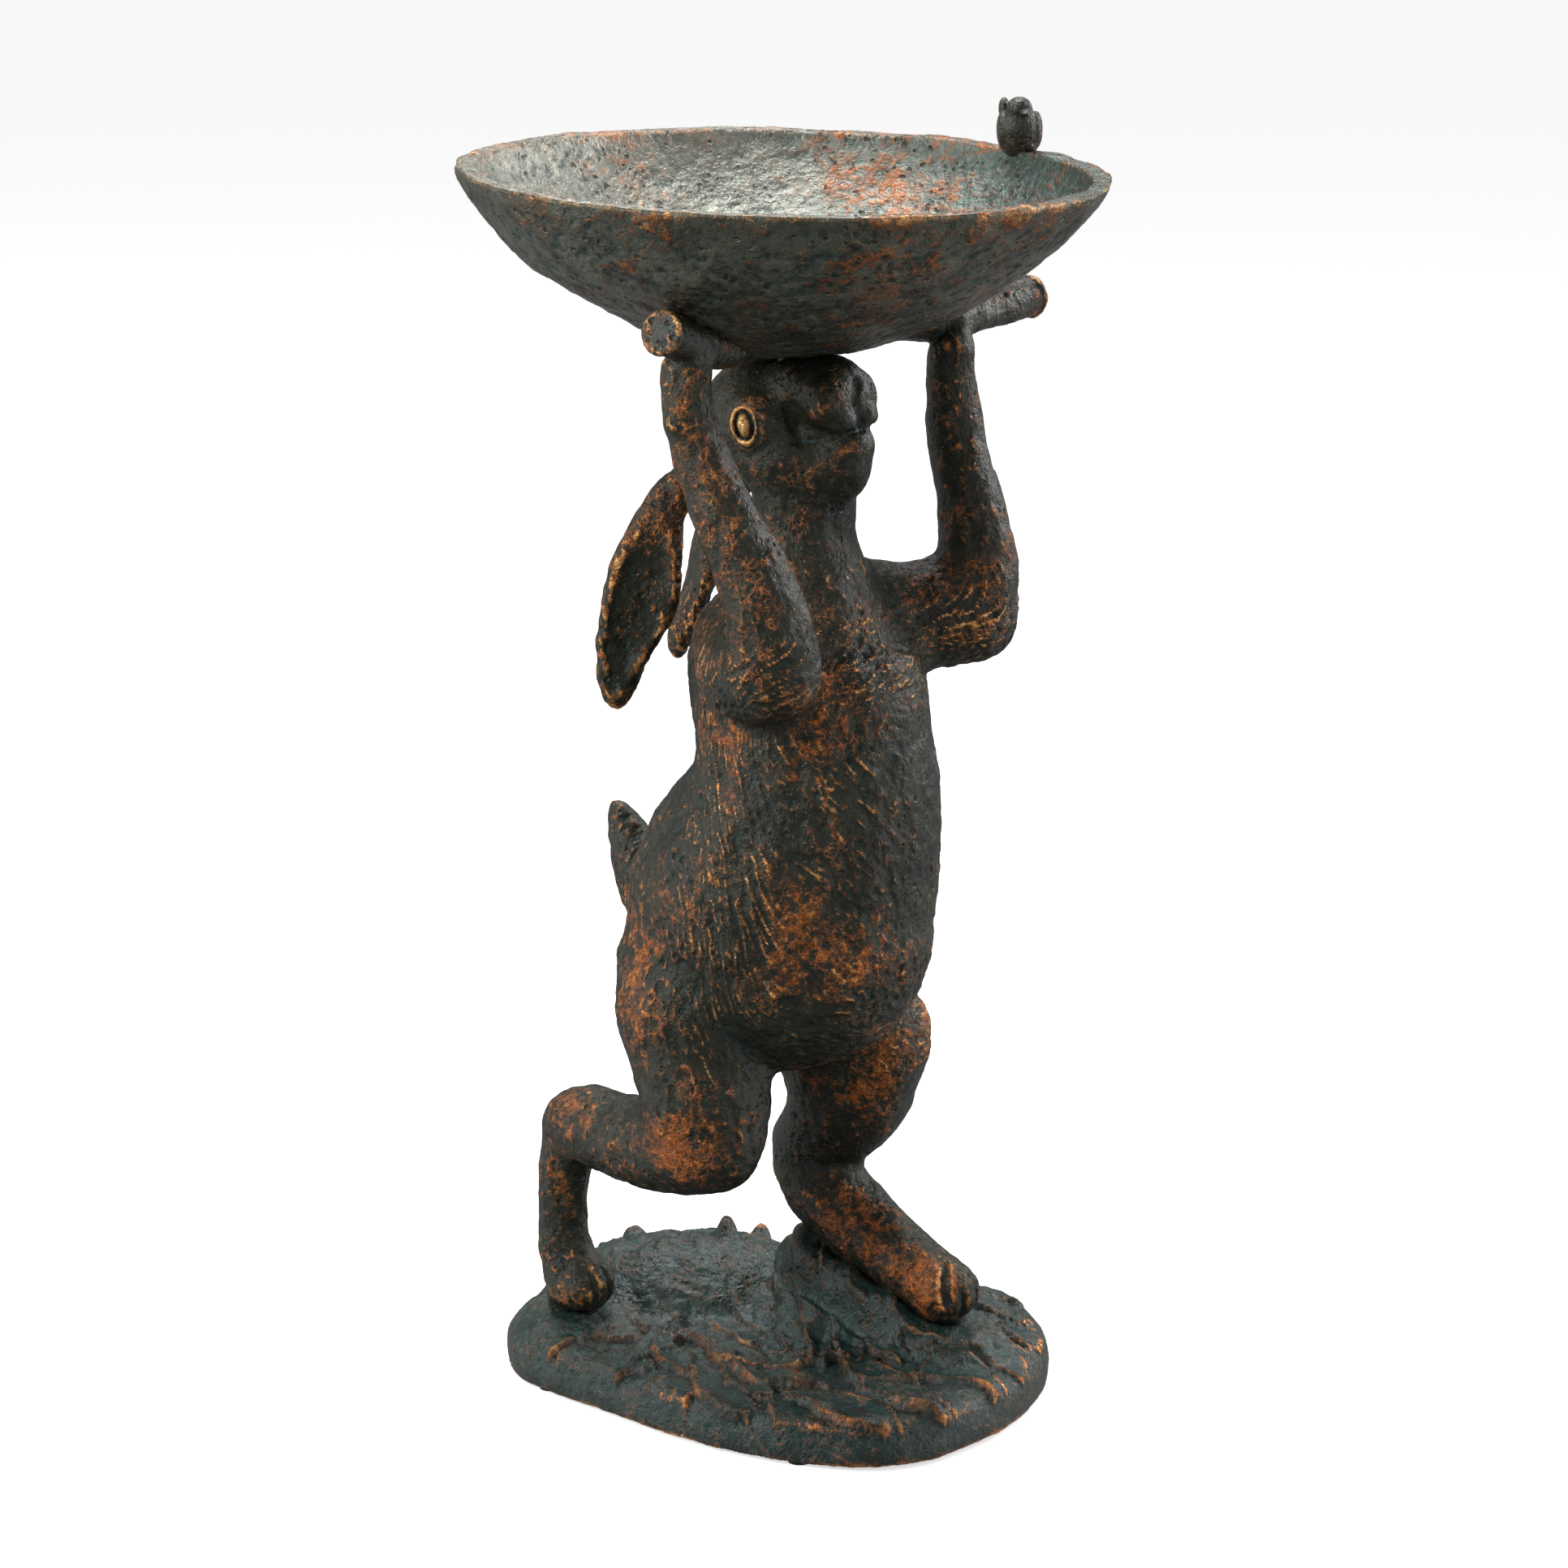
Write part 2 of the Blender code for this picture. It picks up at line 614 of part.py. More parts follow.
def build():
    clear_scene()
    parts = new_collection("bird_bath")
    cutters = new_collection("cutters")
    patina_body = material("bronze_patina_brown", BRONZE_DARK, 0.45, 0.6)
    patina_green = material("bronze_patina_green", BRONZE_GREEN, 0.45, 0.6)
    steel = material("steel", STEEL, 0.35, 1.0)
    felt = material("felt", FELT, 0.95, 0.0)

    nodes = {
        "torso": make_torso(parts),
        "head": make_head(parts),
        "right_arm": make_right_arm(parts),
        "left_arm": make_left_arm(parts),
        "right_leg": make_right_leg(parts),
        "left_leg": make_left_leg(parts),
        "right_ear": make_right_ear(parts),
        "left_ear": make_left_ear(parts),
        "tail": make_tail(parts),
        "basin": make_basin(parts),
        "right_branch": make_right_branch(parts),
        "left_branch": make_left_branch(parts),
        "bird": make_bird(parts),
        "base": make_base(parts, cutters),
    }
    castings = list(nodes)
    cope_all(nodes, parts, cutters)
    for name, start, end, radius, *owners in DOWELS:
        fit_bar(parts, cutters, name, from_rabbit(*start), from_rabbit(*end), radius, owners, nodes)
    x, y, z = BIRD_PLACE
    spot = Vector((x, y, 0)).normalized() * BIRD_DOWEL_FROM_AXIS
    low, high = from_world(spot.x, spot.y, z - 7), from_world(spot.x, spot.y, z + 12)
    fit_bar(parts, cutters, "bird_dowel", low, high, 1.3, ("basin", "bird"), nodes, gap=0.2)
    fit_rods(parts, cutters, nodes)
    fit_pads(parts, nodes)

    for name, obj in nodes.items():
        if name in ("basin", "right_branch", "left_branch", "bird", "base"):
            paint(obj, patina_green)
        elif name in castings:
            paint(obj, patina_body)
        elif name.startswith("pad"):
            paint(obj, felt)
        else:
            paint(obj, steel)


build()
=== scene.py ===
"""Looks of the bird bath: finely modelled castings with an aged bronze finish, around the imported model.

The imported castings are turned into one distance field, blended and smoothed as one sculpture, carved with
its face, ears, toes and grass, and cut back into one piece for each casting. Lengths in the tables are
millimetres; the rabbit's own axes are forward, left and up.
"""

import math

import bpy
import numpy as np
import openvdb
from mathutils import Matrix, Vector


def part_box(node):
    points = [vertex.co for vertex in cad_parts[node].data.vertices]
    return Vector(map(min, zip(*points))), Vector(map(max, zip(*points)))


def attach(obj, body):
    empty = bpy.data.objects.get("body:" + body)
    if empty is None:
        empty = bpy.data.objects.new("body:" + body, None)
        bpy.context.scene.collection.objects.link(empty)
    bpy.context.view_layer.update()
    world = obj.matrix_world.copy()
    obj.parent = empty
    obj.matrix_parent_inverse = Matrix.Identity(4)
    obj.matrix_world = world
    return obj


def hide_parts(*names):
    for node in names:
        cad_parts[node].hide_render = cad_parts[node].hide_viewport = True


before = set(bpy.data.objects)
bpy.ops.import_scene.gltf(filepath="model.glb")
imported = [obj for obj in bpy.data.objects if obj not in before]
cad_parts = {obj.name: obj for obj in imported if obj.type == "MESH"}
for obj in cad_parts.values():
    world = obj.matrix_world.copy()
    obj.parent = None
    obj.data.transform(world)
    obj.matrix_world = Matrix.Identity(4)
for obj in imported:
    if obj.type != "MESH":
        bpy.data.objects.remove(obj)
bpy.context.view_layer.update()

MM = 0.001
HEADING = math.radians(-40)  # the way the rabbit walks, turned from +X
VOXEL = 0.0011  # grid step of the figure's distance field
BASE_VOXEL = 1.12 * VOXEL
BIRD_VOXEL = 0.0005
BAND = 0.010  # how far from the surface a distance field is exact
COS_H, SIN_H = math.cos(HEADING), math.sin(HEADING)


def rabbit(forward, left, up):
    """World position, in metres, of a point in the rabbit's own axes."""
    return np.array((COS_H * forward - SIN_H * left, SIN_H * forward + COS_H * left, up)) * MM


def rabbit_direction(forward, left, up):
    made = rabbit(forward, left, up)
    return made / np.linalg.norm(made)


# ---- noise

TABLE = 4096  # entries of a noise table, a power of two
PRIMES = (73856093, 19349663, 83492791)
EVEN_OUT = 1.7  # brings smooth noise to about -1 to 1


class Noise:
    """Seeded gradient noise and cell noise, for arrays of points."""

    def __init__(self, seed):
        random = np.random.RandomState(seed)
        gradients = random.normal(size=(TABLE, 3))
        self.gradients = (gradients / np.linalg.norm(gradients, axis=1)[:, None]).astype(np.float32)
        self.offsets = random.uniform(0, 1, size=(TABLE, 3)).astype(np.float32)
        self.seed = seed

    def hashed(self, cells):
        """An entry of the tables for each cell."""
        x, y, z = (cells[..., axis] * prime for axis, prime in enumerate(PRIMES))
        mixed = x ^ y ^ z
        mixed = (mixed ^ (mixed >> 13)) * 1274126177 + self.seed * 7919
        return (mixed ^ (mixed >> 16)) & (TABLE - 1)

    def smooth(self, points, size):
        """About -1 to 1; size is the width of one bump in millimetres."""
        place = points / (size * MM)
        cell = np.floor(place).astype(np.int64)
        inside = place - cell
        fade = inside ** 3 * (inside * (inside * 6 - 15) + 10)
        total = np.zeros(len(points))
        for corner in np.ndindex(2, 2, 2):
            corner = np.array(corner)
            gradient = self.gradients[self.hashed(cell + corner)]
            weight = np.prod(np.where(corner == 1, fade, 1 - fade), axis=1)
            total += weight * np.sum(gradient * (inside - corner), axis=1)
        return total * EVEN_OUT

    def fractal(self, points, size, octaves=3, gain=0.5):
        """Smooth noise with finer and weaker noise added."""
        total = np.zeros(len(points))
        strength = 1.0
        for octave in range(octaves):
            total += strength * self.smooth(points + octave * 0.37, size / 2 ** octave)
            strength *= gain
        return total

    def cells(self, points, size):
        """Distance to the nearest seed, in cell widths."""
        place = points / (size * MM)
        cell = np.floor(place).astype(np.int64)
        nearest = np.full(len(points), 9.0)
        for shift in np.ndindex(3, 3, 3):
            near = cell + np.array(shift) - 1
            seed = near + self.offsets[self.hashed(near)]
            nearest = np.minimum(nearest, np.linalg.norm(place - seed, axis=1))
        return nearest


NOISE = Noise(7)
NOISE_2 = Noise(23)


def smoothstep(low, high, value):
    """Zero at low, one at high and smooth between them; low may be the larger."""
    t = np.clip((value - low) / (high - low), 0, 1)
    return t * t * (3 - 2 * t)


# ---- distance fields

def band(value, start, full, until, end):
    """Zero outside start and end, one between full and until, and smooth in between."""
    return smoothstep(start, full, value) * smoothstep(end, until, value)


def node_mesh(name):
    """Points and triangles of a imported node."""
    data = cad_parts[name].data
    data.calc_loop_triangles()
    points = np.empty(len(data.vertices) * 3, np.float32)
    data.vertices.foreach_get("co", points)
    faces = np.empty(len(data.loop_triangles) * 3, np.int32)
    data.loop_triangles.foreach_get("vertices", faces)
    return points.reshape(-1, 3), faces.reshape(-1, 3).astype(np.uint32)


class Field:
    """A block of signed distances on a regular grid, and which node each point is nearest to."""

    def __init__(self, low, high, voxel):
        self.low = np.array(low, float)
        self.voxel = voxel
        self.shape = tuple(int(n) for n in np.ceil((np.array(high) - self.low) / voxel) + 1)
        self.values = np.full(self.shape, BAND, np.float32)
        self.nearest = np.full(self.shape, BAND, np.float32)
        self.owner = np.zeros(self.shape, np.uint8)
        self.names = []

    def block(self, low, high):
        """Slices of the block between two world corners, and the coordinates along each axis."""
        first = np.clip(np.floor((np.array(low) - self.low) / self.voxel).astype(int), 0, self.shape)
        last = np.clip(np.ceil((np.array(high) - self.low) / self.voxel).astype(int) + 1, 0, self.shape)
        slices = tuple(slice(a, b) for a, b in zip(first, last))
        axes = [self.low[i] + np.arange(first[i], last[i]) * self.voxel for i in range(3)]
        return slices, np.meshgrid(*axes, indexing="ij", sparse=True)

    def node_distances(self, name):
        """Slices of the block round a node, and its signed distances there."""
        points, faces = node_mesh(name)
        slices, _ = self.block(points.min(0) - BAND, points.max(0) + BAND)
        start = np.array([s.start for s in slices])
        corner = self.low + start * self.voxel
        grid = openvdb.FloatGrid.createLevelSetFromPolygons(
            np.ascontiguousarray(points - corner, np.float32),
            triangles=faces,
            transform=openvdb.createLinearTransform(voxelSize=self.voxel),
            halfWidth=BAND / self.voxel,
        )
        block = np.full([s.stop - s.start for s in slices], BAND, np.float32)
        grid.copyToArray(block)
        return slices, block

    def add_node(self, name, blend):
        """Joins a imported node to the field, with a fillet of blend metres."""
        slices, block = self.node_distances(name)
        self.names.append(name)
        closer = block < self.nearest[slices]
        self.owner[slices][closer] = len(self.names) - 1
        self.nearest[slices] = np.minimum(self.nearest[slices], block)
        old = self.values[slices]
        if blend > 0:
            # flush joints get no fillet: only surfaces that meet at an angle do
            slopes = zip(np.gradient(old, self.voxel), np.gradient(block, self.voxel))
            agreement = sum(a * b for a, b in slopes)
            blend = blend * smoothstep(0.9, 0.45, agreement) + 1e-6
        self.values[slices] = smooth_min(old, block, blend)

    def blur(self, sigma, slices=(slice(None),) * 3):
        """Gaussian smoothing of the distances, sigma in metres."""
        width = sigma / self.voxel
        reach = int(math.ceil(2.5 * width))
        taps = np.exp(-0.5 * (np.arange(-reach, reach + 1) / width) ** 2).astype(np.float32)
        taps /= taps.sum()
        values = self.values[slices]
        for axis in range(3):
            margins = [(reach, reach) if i == axis else (0, 0) for i in range(3)]
            padded = np.pad(values, margins, mode="edge")
            count = values.shape[axis]
            made = np.zeros_like(values)
            for shift, tap in enumerate(taps):
                window = [slice(None)] * 3
                window[axis] = slice(shift, shift + count)
                made += tap * padded[tuple(window)]
            values = made
        self.values[slices] = values

    def soften(self, centre, reach, sigma):
        """Smooths the surface round a place, less and less out to reach, in metres."""
        slices, (x, y, z) = self.block(centre - reach, centre + reach)
        away = np.sqrt((x - centre[0]) ** 2 + (y - centre[1]) ** 2 + (z - centre[2]) ** 2) / reach
        old = self.values[slices].copy()
        self.blur(sigma, slices)
        self.values[slices] = old + (self.values[slices] - old) * smoothstep(1.0, 0.5, away)

    def put(self, shape, centre, reach, blend, add=True):
        """Joins or cuts away a shape near a centre, reach and blend in millimetres.

        The shape is a function from x, y, z to distance.
        """
        centre = np.asarray(centre)
        slices, (x, y, z) = self.block(centre - reach * MM, centre + reach * MM)
        block = shape(x, y, z).astype(np.float32)
        old, blend = self.values[slices], blend * MM
        if add:
            self.values[slices] = smooth_min(old, block, blend)
        else:
            self.values[slices] = -smooth_min(-old, block, blend)

    def sample(self, points):
        """Values of the field at points, between grid points."""
        place = np.clip((points - self.low) / self.voxel, 0, np.array(self.shape) - 1.001)
        cell = place.astype(int)
        part = place - cell
        total = np.zeros(len(points))
        for corner in np.ndindex(2, 2, 2):
            weight = np.prod(np.where(np.array(corner) == 1, part, 1 - part), axis=1)
            index = cell + np.array(corner)
            total += weight * self.values[index[:, 0], index[:, 1], index[:, 2]]
        return total

    def gradient(self, points):
        """Unit vectors out of the shape, at points."""
        sides = []
        for axis in range(3):
            shift = np.zeros(3)
            shift[axis] = self.voxel
            sides.append(self.sample(points + shift) - self.sample(points - shift))
        slope = np.stack(sides, axis=1)
        return slope / np.maximum(np.linalg.norm(slope, axis=1), 1e-9)[:, None]

    def surface(self):
        """Vertices and four-cornered faces of the zero surface."""
        grid = openvdb.FloatGrid(BAND)
        grid.copyFromArray(np.clip(self.values, -BAND, BAND))
        grid.transform = openvdb.createLinearTransform(voxelSize=self.voxel)
        points, quads = grid.convertToQuads(isovalue=0.0)
        return points.astype(float) + self.low, quads.astype(np.int64)

    def owners_at(self, points):
        """Which node each point is nearest to."""
        place = np.rint((points - self.low) / self.voxel).astype(int)
        place = np.clip(place, 0, np.array(self.shape) - 1)
        return self.owner[place[:, 0], place[:, 1], place[:, 2]]


def smooth_min(a, b, blend):
    """The smaller of two distances, rounded where they are within blend of each other."""
    if np.ndim(blend) == 0 and blend <= 0:
        return np.minimum(a, b)
    share = np.clip(0.5 + 0.5 * (b - a) / blend, 0, 1)
    return b + (a - b) * share - blend * share * (1 - share)


def along_axes(axes, centre, x, y, z):
    """Coordinates from a centre along three unit vectors."""
    x, y, z = x - centre[0], y - centre[1], z - centre[2]
    return [axis[0] * x + axis[1] * y + axis[2] * z for axis in axes]


def ball(centre, radii, axes=None):
    """Distance function of an ellipsoid; axes are three unit vectors, one a row."""
    centre = np.asarray(centre)
    radii = np.asarray(radii) * MM
    axes = np.eye(3) if axes is None else np.asarray(axes)

    def distance(x, y, z):
        parts = along_axes(axes, centre, x, y, z)
        unit = np.sqrt(sum((p / r) ** 2 for p, r in zip(parts, radii)))
        slope = np.sqrt(sum((p / r ** 2) ** 2 for p, r in zip(parts, radii)))
        return unit * (unit - 1) / np.maximum(slope, 1e-9)

    return distance


def rod(start, end, first_radius, last_radius):
    """Distance function of a tapered round bar."""
    start, end = np.asarray(start), np.asarray(end)
    along = end - start
    length = float(along @ along)

    def distance(x, y, z):
        x, y, z = x - start[0], y - start[1], z - start[2]
        t = np.clip((x * along[0] + y * along[1] + z * along[2]) / length, 0, 1)
        radius = (first_radius + (last_radius - first_radius) * t) * MM
        x, y, z = x - t * along[0], y - t * along[1], z - t * along[2]
        return np.sqrt(x ** 2 + y ** 2 + z ** 2) - radius

    return distance


# ---- the figure as one field

# the castings of the figure in the order they are joined, and the fillet at each joint in millimetres
FIGURE = [
    ("torso", 0), ("head", 8), ("right_arm", 7), ("left_arm", 8), ("right_leg", 8), ("left_leg", 8),
    ("tail", 4), ("right_ear", 3), ("left_ear", 3), ("right_branch", 2), ("left_branch", 2),
]
VIEWER = rabbit(1410, -1690, 891)  # where the surface is looked at from, to place the details below
ROD_COLLAR, DOWEL_COLLAR = 8.5, 7.5  # radii of the clay that covers the feet's rods and the paws' dowels


def make_figure_field():
    low, high = np.full(3, 9.0), np.full(3, -9.0)
    for name, _ in FIGURE:
        a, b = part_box(name)
        low, high = np.minimum(low, a), np.maximum(high, b)
    field = Field(low - 0.008, high + 0.008, VOXEL)
    for name, blend in FIGURE:
        field.add_node(name, blend * MM)
        if name == "left_ear":
            field.blur(2.2 * MM)
    shoulder = np.mean(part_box("left_shoulder_dowel"), axis=0)
    field.soften(shoulder, 50 * MM, 4.5 * MM)
    for leg in ("right_leg", "left_leg"):
        cover_rod(field, leg)
    for name in ("right_paw_dowel", "left_paw_dowel"):
        low, high = (np.array(corner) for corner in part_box(name))
        field.put(rod(low, high, DOWEL_COLLAR, DOWEL_COLLAR), (low + high) / 2, 30, 5)
    return field


def cover_rod(field, leg):
    """Fills the sole out round the rod that holds the foot."""
    low, high = (np.array(corner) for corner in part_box(leg + "_rod"))
    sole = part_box(leg)[0][2]
    middle = (low + high) / 2
    start, end = np.array((*middle[:2], sole - 1 * MM)), np.array((*middle[:2], sole + 18 * MM))
    field.put(rod(start, end, ROD_COLLAR, ROD_COLLAR), (start + end) / 2, 26, 6)


def onto_surface(field, place):
    """The point of the surface that the viewer sees in the direction of a place given in rabbit axes."""
    place = rabbit(*place)
    back = (VIEWER - place) / np.linalg.norm(VIEWER - place)
    steps = np.arange(16, -24, -0.25) * MM
    line = place + steps[:, None] * back
    inside = np.flatnonzero(field.sample(line) < 0)
    return line[inside[0]] if len(inside) else place


def groove(field, places, radius, blend=1.2, sink=0.3):
    """A pressed line through places in rabbit axes, laid on the surface."""
    spots = [onto_surface(field, place) for place in places]
    for start, end in zip(spots, spots[1:]):
        middle = (start + end) / 2
        inward = -field.gradient(middle[None])[0] * sink * MM
        reach = np.linalg.norm(end - start) / MM / 2 + radius + 4
        field.put(rod(start + inward, end + inward, radius, radius), middle, reach, blend, add=False)


def oval_ring(centre, across, up, out, half_width, half_height, thickness):
    """Distance function of an oval ring that lies on a surface bulging outwards."""
    def distance(x, y, z):
        a, b, c = along_axes((across, up, out), centre, x, y, z)
        c = c + (a * a + b * b) / (44 * MM)
        size = np.sqrt((a / half_width) ** 2 + (b / half_height) ** 2) / MM
        flat = (size - 1) * (half_width + half_height) / 2 * MM
        return np.sqrt(flat * flat + c * c) - thickness * MM

    return distance


EYE = (6.5, -36.0, 479.0)
EYE_AXES = [rabbit_direction(*axis) for axis in ((1, 0.16, 0.16), (-0.14, 0.06, 1), (0.15, -0.98, 0.06))]


def mirrored(vector):
    """The same vector on the rabbit's other side."""
    forward, left = COS_H * vector[0] + SIN_H * vector[1], -SIN_H * vector[0] + COS_H * vector[1]
    return np.array((COS_H * forward + SIN_H * left, SIN_H * forward - COS_H * left, vector[2]))


def both_eyes(centre):
    """Axes and centre of each eye, from the centre of the right one."""
    return (EYE_AXES, centre), ([mirrored(axis) for axis in EYE_AXES], mirrored(centre))


def carve_eyes(field):
    """Makes the eyes: lid, socket, eyeball and a thin ring. Returns the centre of the right one."""
    centre = onto_surface(field, EYE)
    for axes, place in both_eyes(centre):
        out = axes[2]
        field.put(oval_ring(place - 0.9 * MM * out, *axes, 8.8, 10.6, 1.3), place, 18, 2.4)
        field.put(ball(place + 0.4 * MM * out, (6.6, 8.4, 3.2), axes), place, 16, 1.4, add=False)
        field.put(ball(place - 2.6 * MM * out, (4.0, 6.2, 4.9), axes), place, 12, 0.4)
        field.put(oval_ring(place + 0.5 * MM * out, *axes, 6.3, 8.3, 1.05), place, 14, 0.6)
    return centre


def eye_share(points, centre):
    """One on the two eyeballs, zero elsewhere."""
    share = np.zeros(len(points))
    for axes, place in both_eyes(centre):
        a, b, c = ((points - place) @ axis / MM for axis in axes)
        size = np.sqrt((a / 2.9) ** 2 + (b / 4.9) ** 2)
        share = np.maximum(share, smoothstep(1.2, 0.7, size) * (np.abs(c) < 6))
    return share


# lumps of the muzzle: centre, radii and blend in rabbit axes; those off the middle are on both sides
MUZZLE = [
    ((33, 11.5, 489), (10, 9, 11), 3), ((39.5, 7.5, 481.5), (7.5, 8, 6.5), 2.5),
    ((33, 0, 460), (14.5, 14, 17), 8), ((38, 0, 469), (11, 11, 7.5), 5), ((30, 0, 500), (12, 10, 8), 3),
]
# pressed lines: places, radius, blend, depth
FACE_LINES = [
    ([(50.6, -6, 507), (48, -6, 499), (47, -6, 491), (49.8, -6, 480)], 1.5, 2.6, 0.0),
    ([(49, -2, 477.0), (46, -8, 476.6), (41, -15, 475.4), (34, -23, 473.3), (28, -27, 472.3)], 0.9, 1.6, 0.6),
    ([(49, 2, 477.0), (46, 8, 476.6), (41, 15, 475.4)], 0.9, 1.6, 0.6),
    ([(24, -25, 487), (27, -24, 480), (31, -25, 474)], 1.5, 4.0, 0.0),
]


def carve_muzzle(field):
    axes = (rabbit_direction(1, 0, 0), rabbit_direction(0, 1, 0), (0, 0, 1))
    for (forward, left, up), radii, blend in MUZZLE:
        for side in (-1, 1) if left else (1,):
            place = rabbit(forward, left * side, up)
            field.put(ball(place, radii, axes), place, 30, blend)
    for places, radius, blend, depth in FACE_LINES:
        groove(field, places, radius, blend, depth)


# how each ear is cupped: centre (forward, left, up), half width and depth of the hollow
RIGHT_CUP = [
    (-42, -42, 426, 9, 2), (-43, -47, 409, 15.5, 4.5), (-46, -49, 389, 15.5, 5),
    (-54, -50, 370, 11.5, 4.5), (-58, -51, 356, 6.5, 3), (-59, -51, 349, 3.5, 1.5),
]
LEFT_CUP = [
    (-56, 22, 424, 10, 2), (-65, 23, 404, 16, 4.5), (-71, 23, 386, 15, 5),
    (-77, 22, 370, 10, 4), (-82, 21, 358, 5, 2.5),
]
EAR_THICKNESS = 7.5


def carve_ear(field, cup, facing):
    """Hollows the ear's inner face and leaves a raised rim round it."""
    facing = np.array((*facing, 0.0))
    across = np.array((-facing[1], facing[0], 0))
    for before, after in zip(cup, cup[1:]):
        for share in np.linspace(0, 1, 6):
            forward, left, up, half_width, depth = np.array(before) * (1 - share) + np.array(after) * share
            place = rabbit(forward, left, up) + facing * (EAR_THICKNESS + 4.0 - depth) * MM
            hollow = ball(place, (half_width, 4.5, 8), (across, facing, (0, 0, 1)))
            field.put(hollow, place, 24, 0.8, add=False)


# the line across the leading foot's toes, and the short lines between the toes of both feet
TOE_LINE = ((79.7, 24, 76.9), (78.8, 24, 70.6), (79.4, 24, 64.6), (80.4, 24, 58.4))
TOE_GAPS = (
    ((-76, -52, 60), (-71, -52, 50), (-72, -52, 38)), ((-76, -40, 60), (-71, -40, 50), (-72, -40, 38)),
    ((86, 34, 62), (90, 34, 50), (86, 34, 38)), ((82, 48, 62), (88, 48, 50), (84, 48, 38)),
)


def carve_toes(field):
    groove(field, TOE_LINE, 1.3, 3.0, 0.5)
    for places in TOE_GAPS:
        groove_at(field, places, 1.4)


def groove_at(field, places, radius):
    """A pressed line that follows the nearest surface below each place, whichever way that faces."""
    spots = []
    for place in places:
        spot = rabbit(*place)
        for _ in range(6):
            spot = spot - field.gradient(spot[None])[0] * field.sample(spot[None])[0]
        spots.append(spot)
    for start, end in zip(spots, spots[1:]):
        field.put(rod(start, end, radius, radius), (start + end) / 2, 16, 1.8, add=False)


# a place inside each stub of the branch, and the middle of its cut face
STUBS = (((19, -84, 525), (24, -112, 533)), ((30, 116, 516), (32, 144, 518)))


def carve_branch_ends(field):
    """Sharpens the cut faces of the two stubs, which smoothing has rounded."""
    for inner, end in STUBS:
        inner, end = rabbit(*inner), rabbit(*end)
        out = (end - inner) / np.linalg.norm(end - inner)
        side = np.cross(out, (0, 0, 1))
        side /= np.linalg.norm(side)
        axes = (side, np.cross(side, out), out)
        field.put(ball(end - out * 1.2 * MM, (10.6, 10.6, 3.2), axes), end, 18, 1.5)
        field.put(ball(end + out * 6.6 * MM, (22, 22, 6.5), axes), end, 18, 0.6, add=False)


# ---- meshes

def mesh_object(name, points, faces, normals=None, attributes=None, caps=()):
    """An object of four-cornered faces, and of any caps given as lists of vertices."""
    mesh = bpy.data.meshes.new(name)
    mesh.vertices.add(len(points))
    mesh.vertices.foreach_set("co", np.ascontiguousarray(points, np.float32).ravel())
    ends = np.concatenate([faces.ravel(), *caps]).astype(np.int32)
    sizes = np.concatenate([np.full(len(faces), 4), [len(cap) for cap in caps]]).astype(np.int32)
    mesh.loops.add(len(ends))
    mesh.loops.foreach_set("vertex_index", ends)
    mesh.polygons.add(len(sizes))
    mesh.polygons.foreach_set("loop_start", np.cumsum(sizes, dtype=np.int32) - sizes)
    mesh.update(calc_edges=True)
    mesh.validate()
    for key, values in (attributes or {}).items():
        layer = mesh.attributes.new(key, "FLOAT", "POINT")
        layer.data.foreach_set("value", np.ascontiguousarray(values, np.float32))
    mesh.shade_smooth()
    if normals is not None:
        mesh.normals_split_custom_set_from_vertices(np.ascontiguousarray(normals, np.float32))
    made = bpy.data.objects.new(name, mesh)
    bpy.context.scene.collection.objects.link(made)
    return made


def vertex_normals(points, faces):
    corner = points[faces]
    normal = np.cross(corner[:, 2] - corner[:, 0], corner[:, 3] - corner[:, 1])
    total = np.zeros_like(points)
    for axis in range(3):
        weights = np.repeat(normal[:, axis], 4)
        total[:, axis] = np.bincount(faces.ravel(), weights, minlength=len(points))
    return total / np.maximum(np.linalg.norm(total, axis=1), 1e-12)[:, None]


def edges_of(faces):
    ends = np.concatenate([faces[:, [i, (i + 1) % 4]] for i in range(4)])
    return np.unique(np.sort(ends, axis=1), axis=0)


def neighbour_mean(values, edges, count):
    """Mean over each vertex's neighbours."""
    a, b = edges.T
    degree = np.bincount(np.concatenate([a, b]), minlength=count)
    columns = values.reshape(count, -1)
    made = np.empty_like(columns)
    for i in range(columns.shape[1]):
        column = columns[:, i]
        made[:, i] = np.bincount(a, column[b], minlength=count)
        made[:, i] += np.bincount(b, column[a], minlength=count)
    return (made / np.maximum(degree, 1)[:, None]).reshape(values.shape)


def relaxed(values, edges, rounds):
    for _ in range(rounds):
        values = 0.5 * values + 0.5 * neighbour_mean(values, edges, len(values))
    return values


def convexity(points, normals, edges, rounds):
    """How far each vertex stands above the relaxed surface around it, in millimetres."""
    return np.sum((points - relaxed(points, edges, rounds)) * normals, axis=1) / MM


def relief(points, normals, edges, fine, broad):
    """How far the surface stands proud of its near and of its wider surroundings, for the paint."""
    return {
        "raised": convexity(points, normals, edges, fine),
        "broad": convexity(points, normals, edges, broad),
    }


def split_pieces(points, faces, normals, owners, names, attributes):
    """One object for each node, out of the faces nearest to it."""
    pieces = {}
    for index, name in enumerate(names):
        own = faces[owners == index]
        if not len(own):
            continue
        used, local = np.unique(own, return_inverse=True)
        pieces[name] = mesh_object(
            "look_" + name, points[used], local.reshape(-1, 4), normals[used],
            {key: values[used] for key, values in attributes.items()},
        )
    return pieces


def settle(piece, node, paint):
    """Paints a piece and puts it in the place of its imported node."""
    piece.data.materials.append(bpy.data.materials[paint])
    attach(piece, "root")
    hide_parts(node)


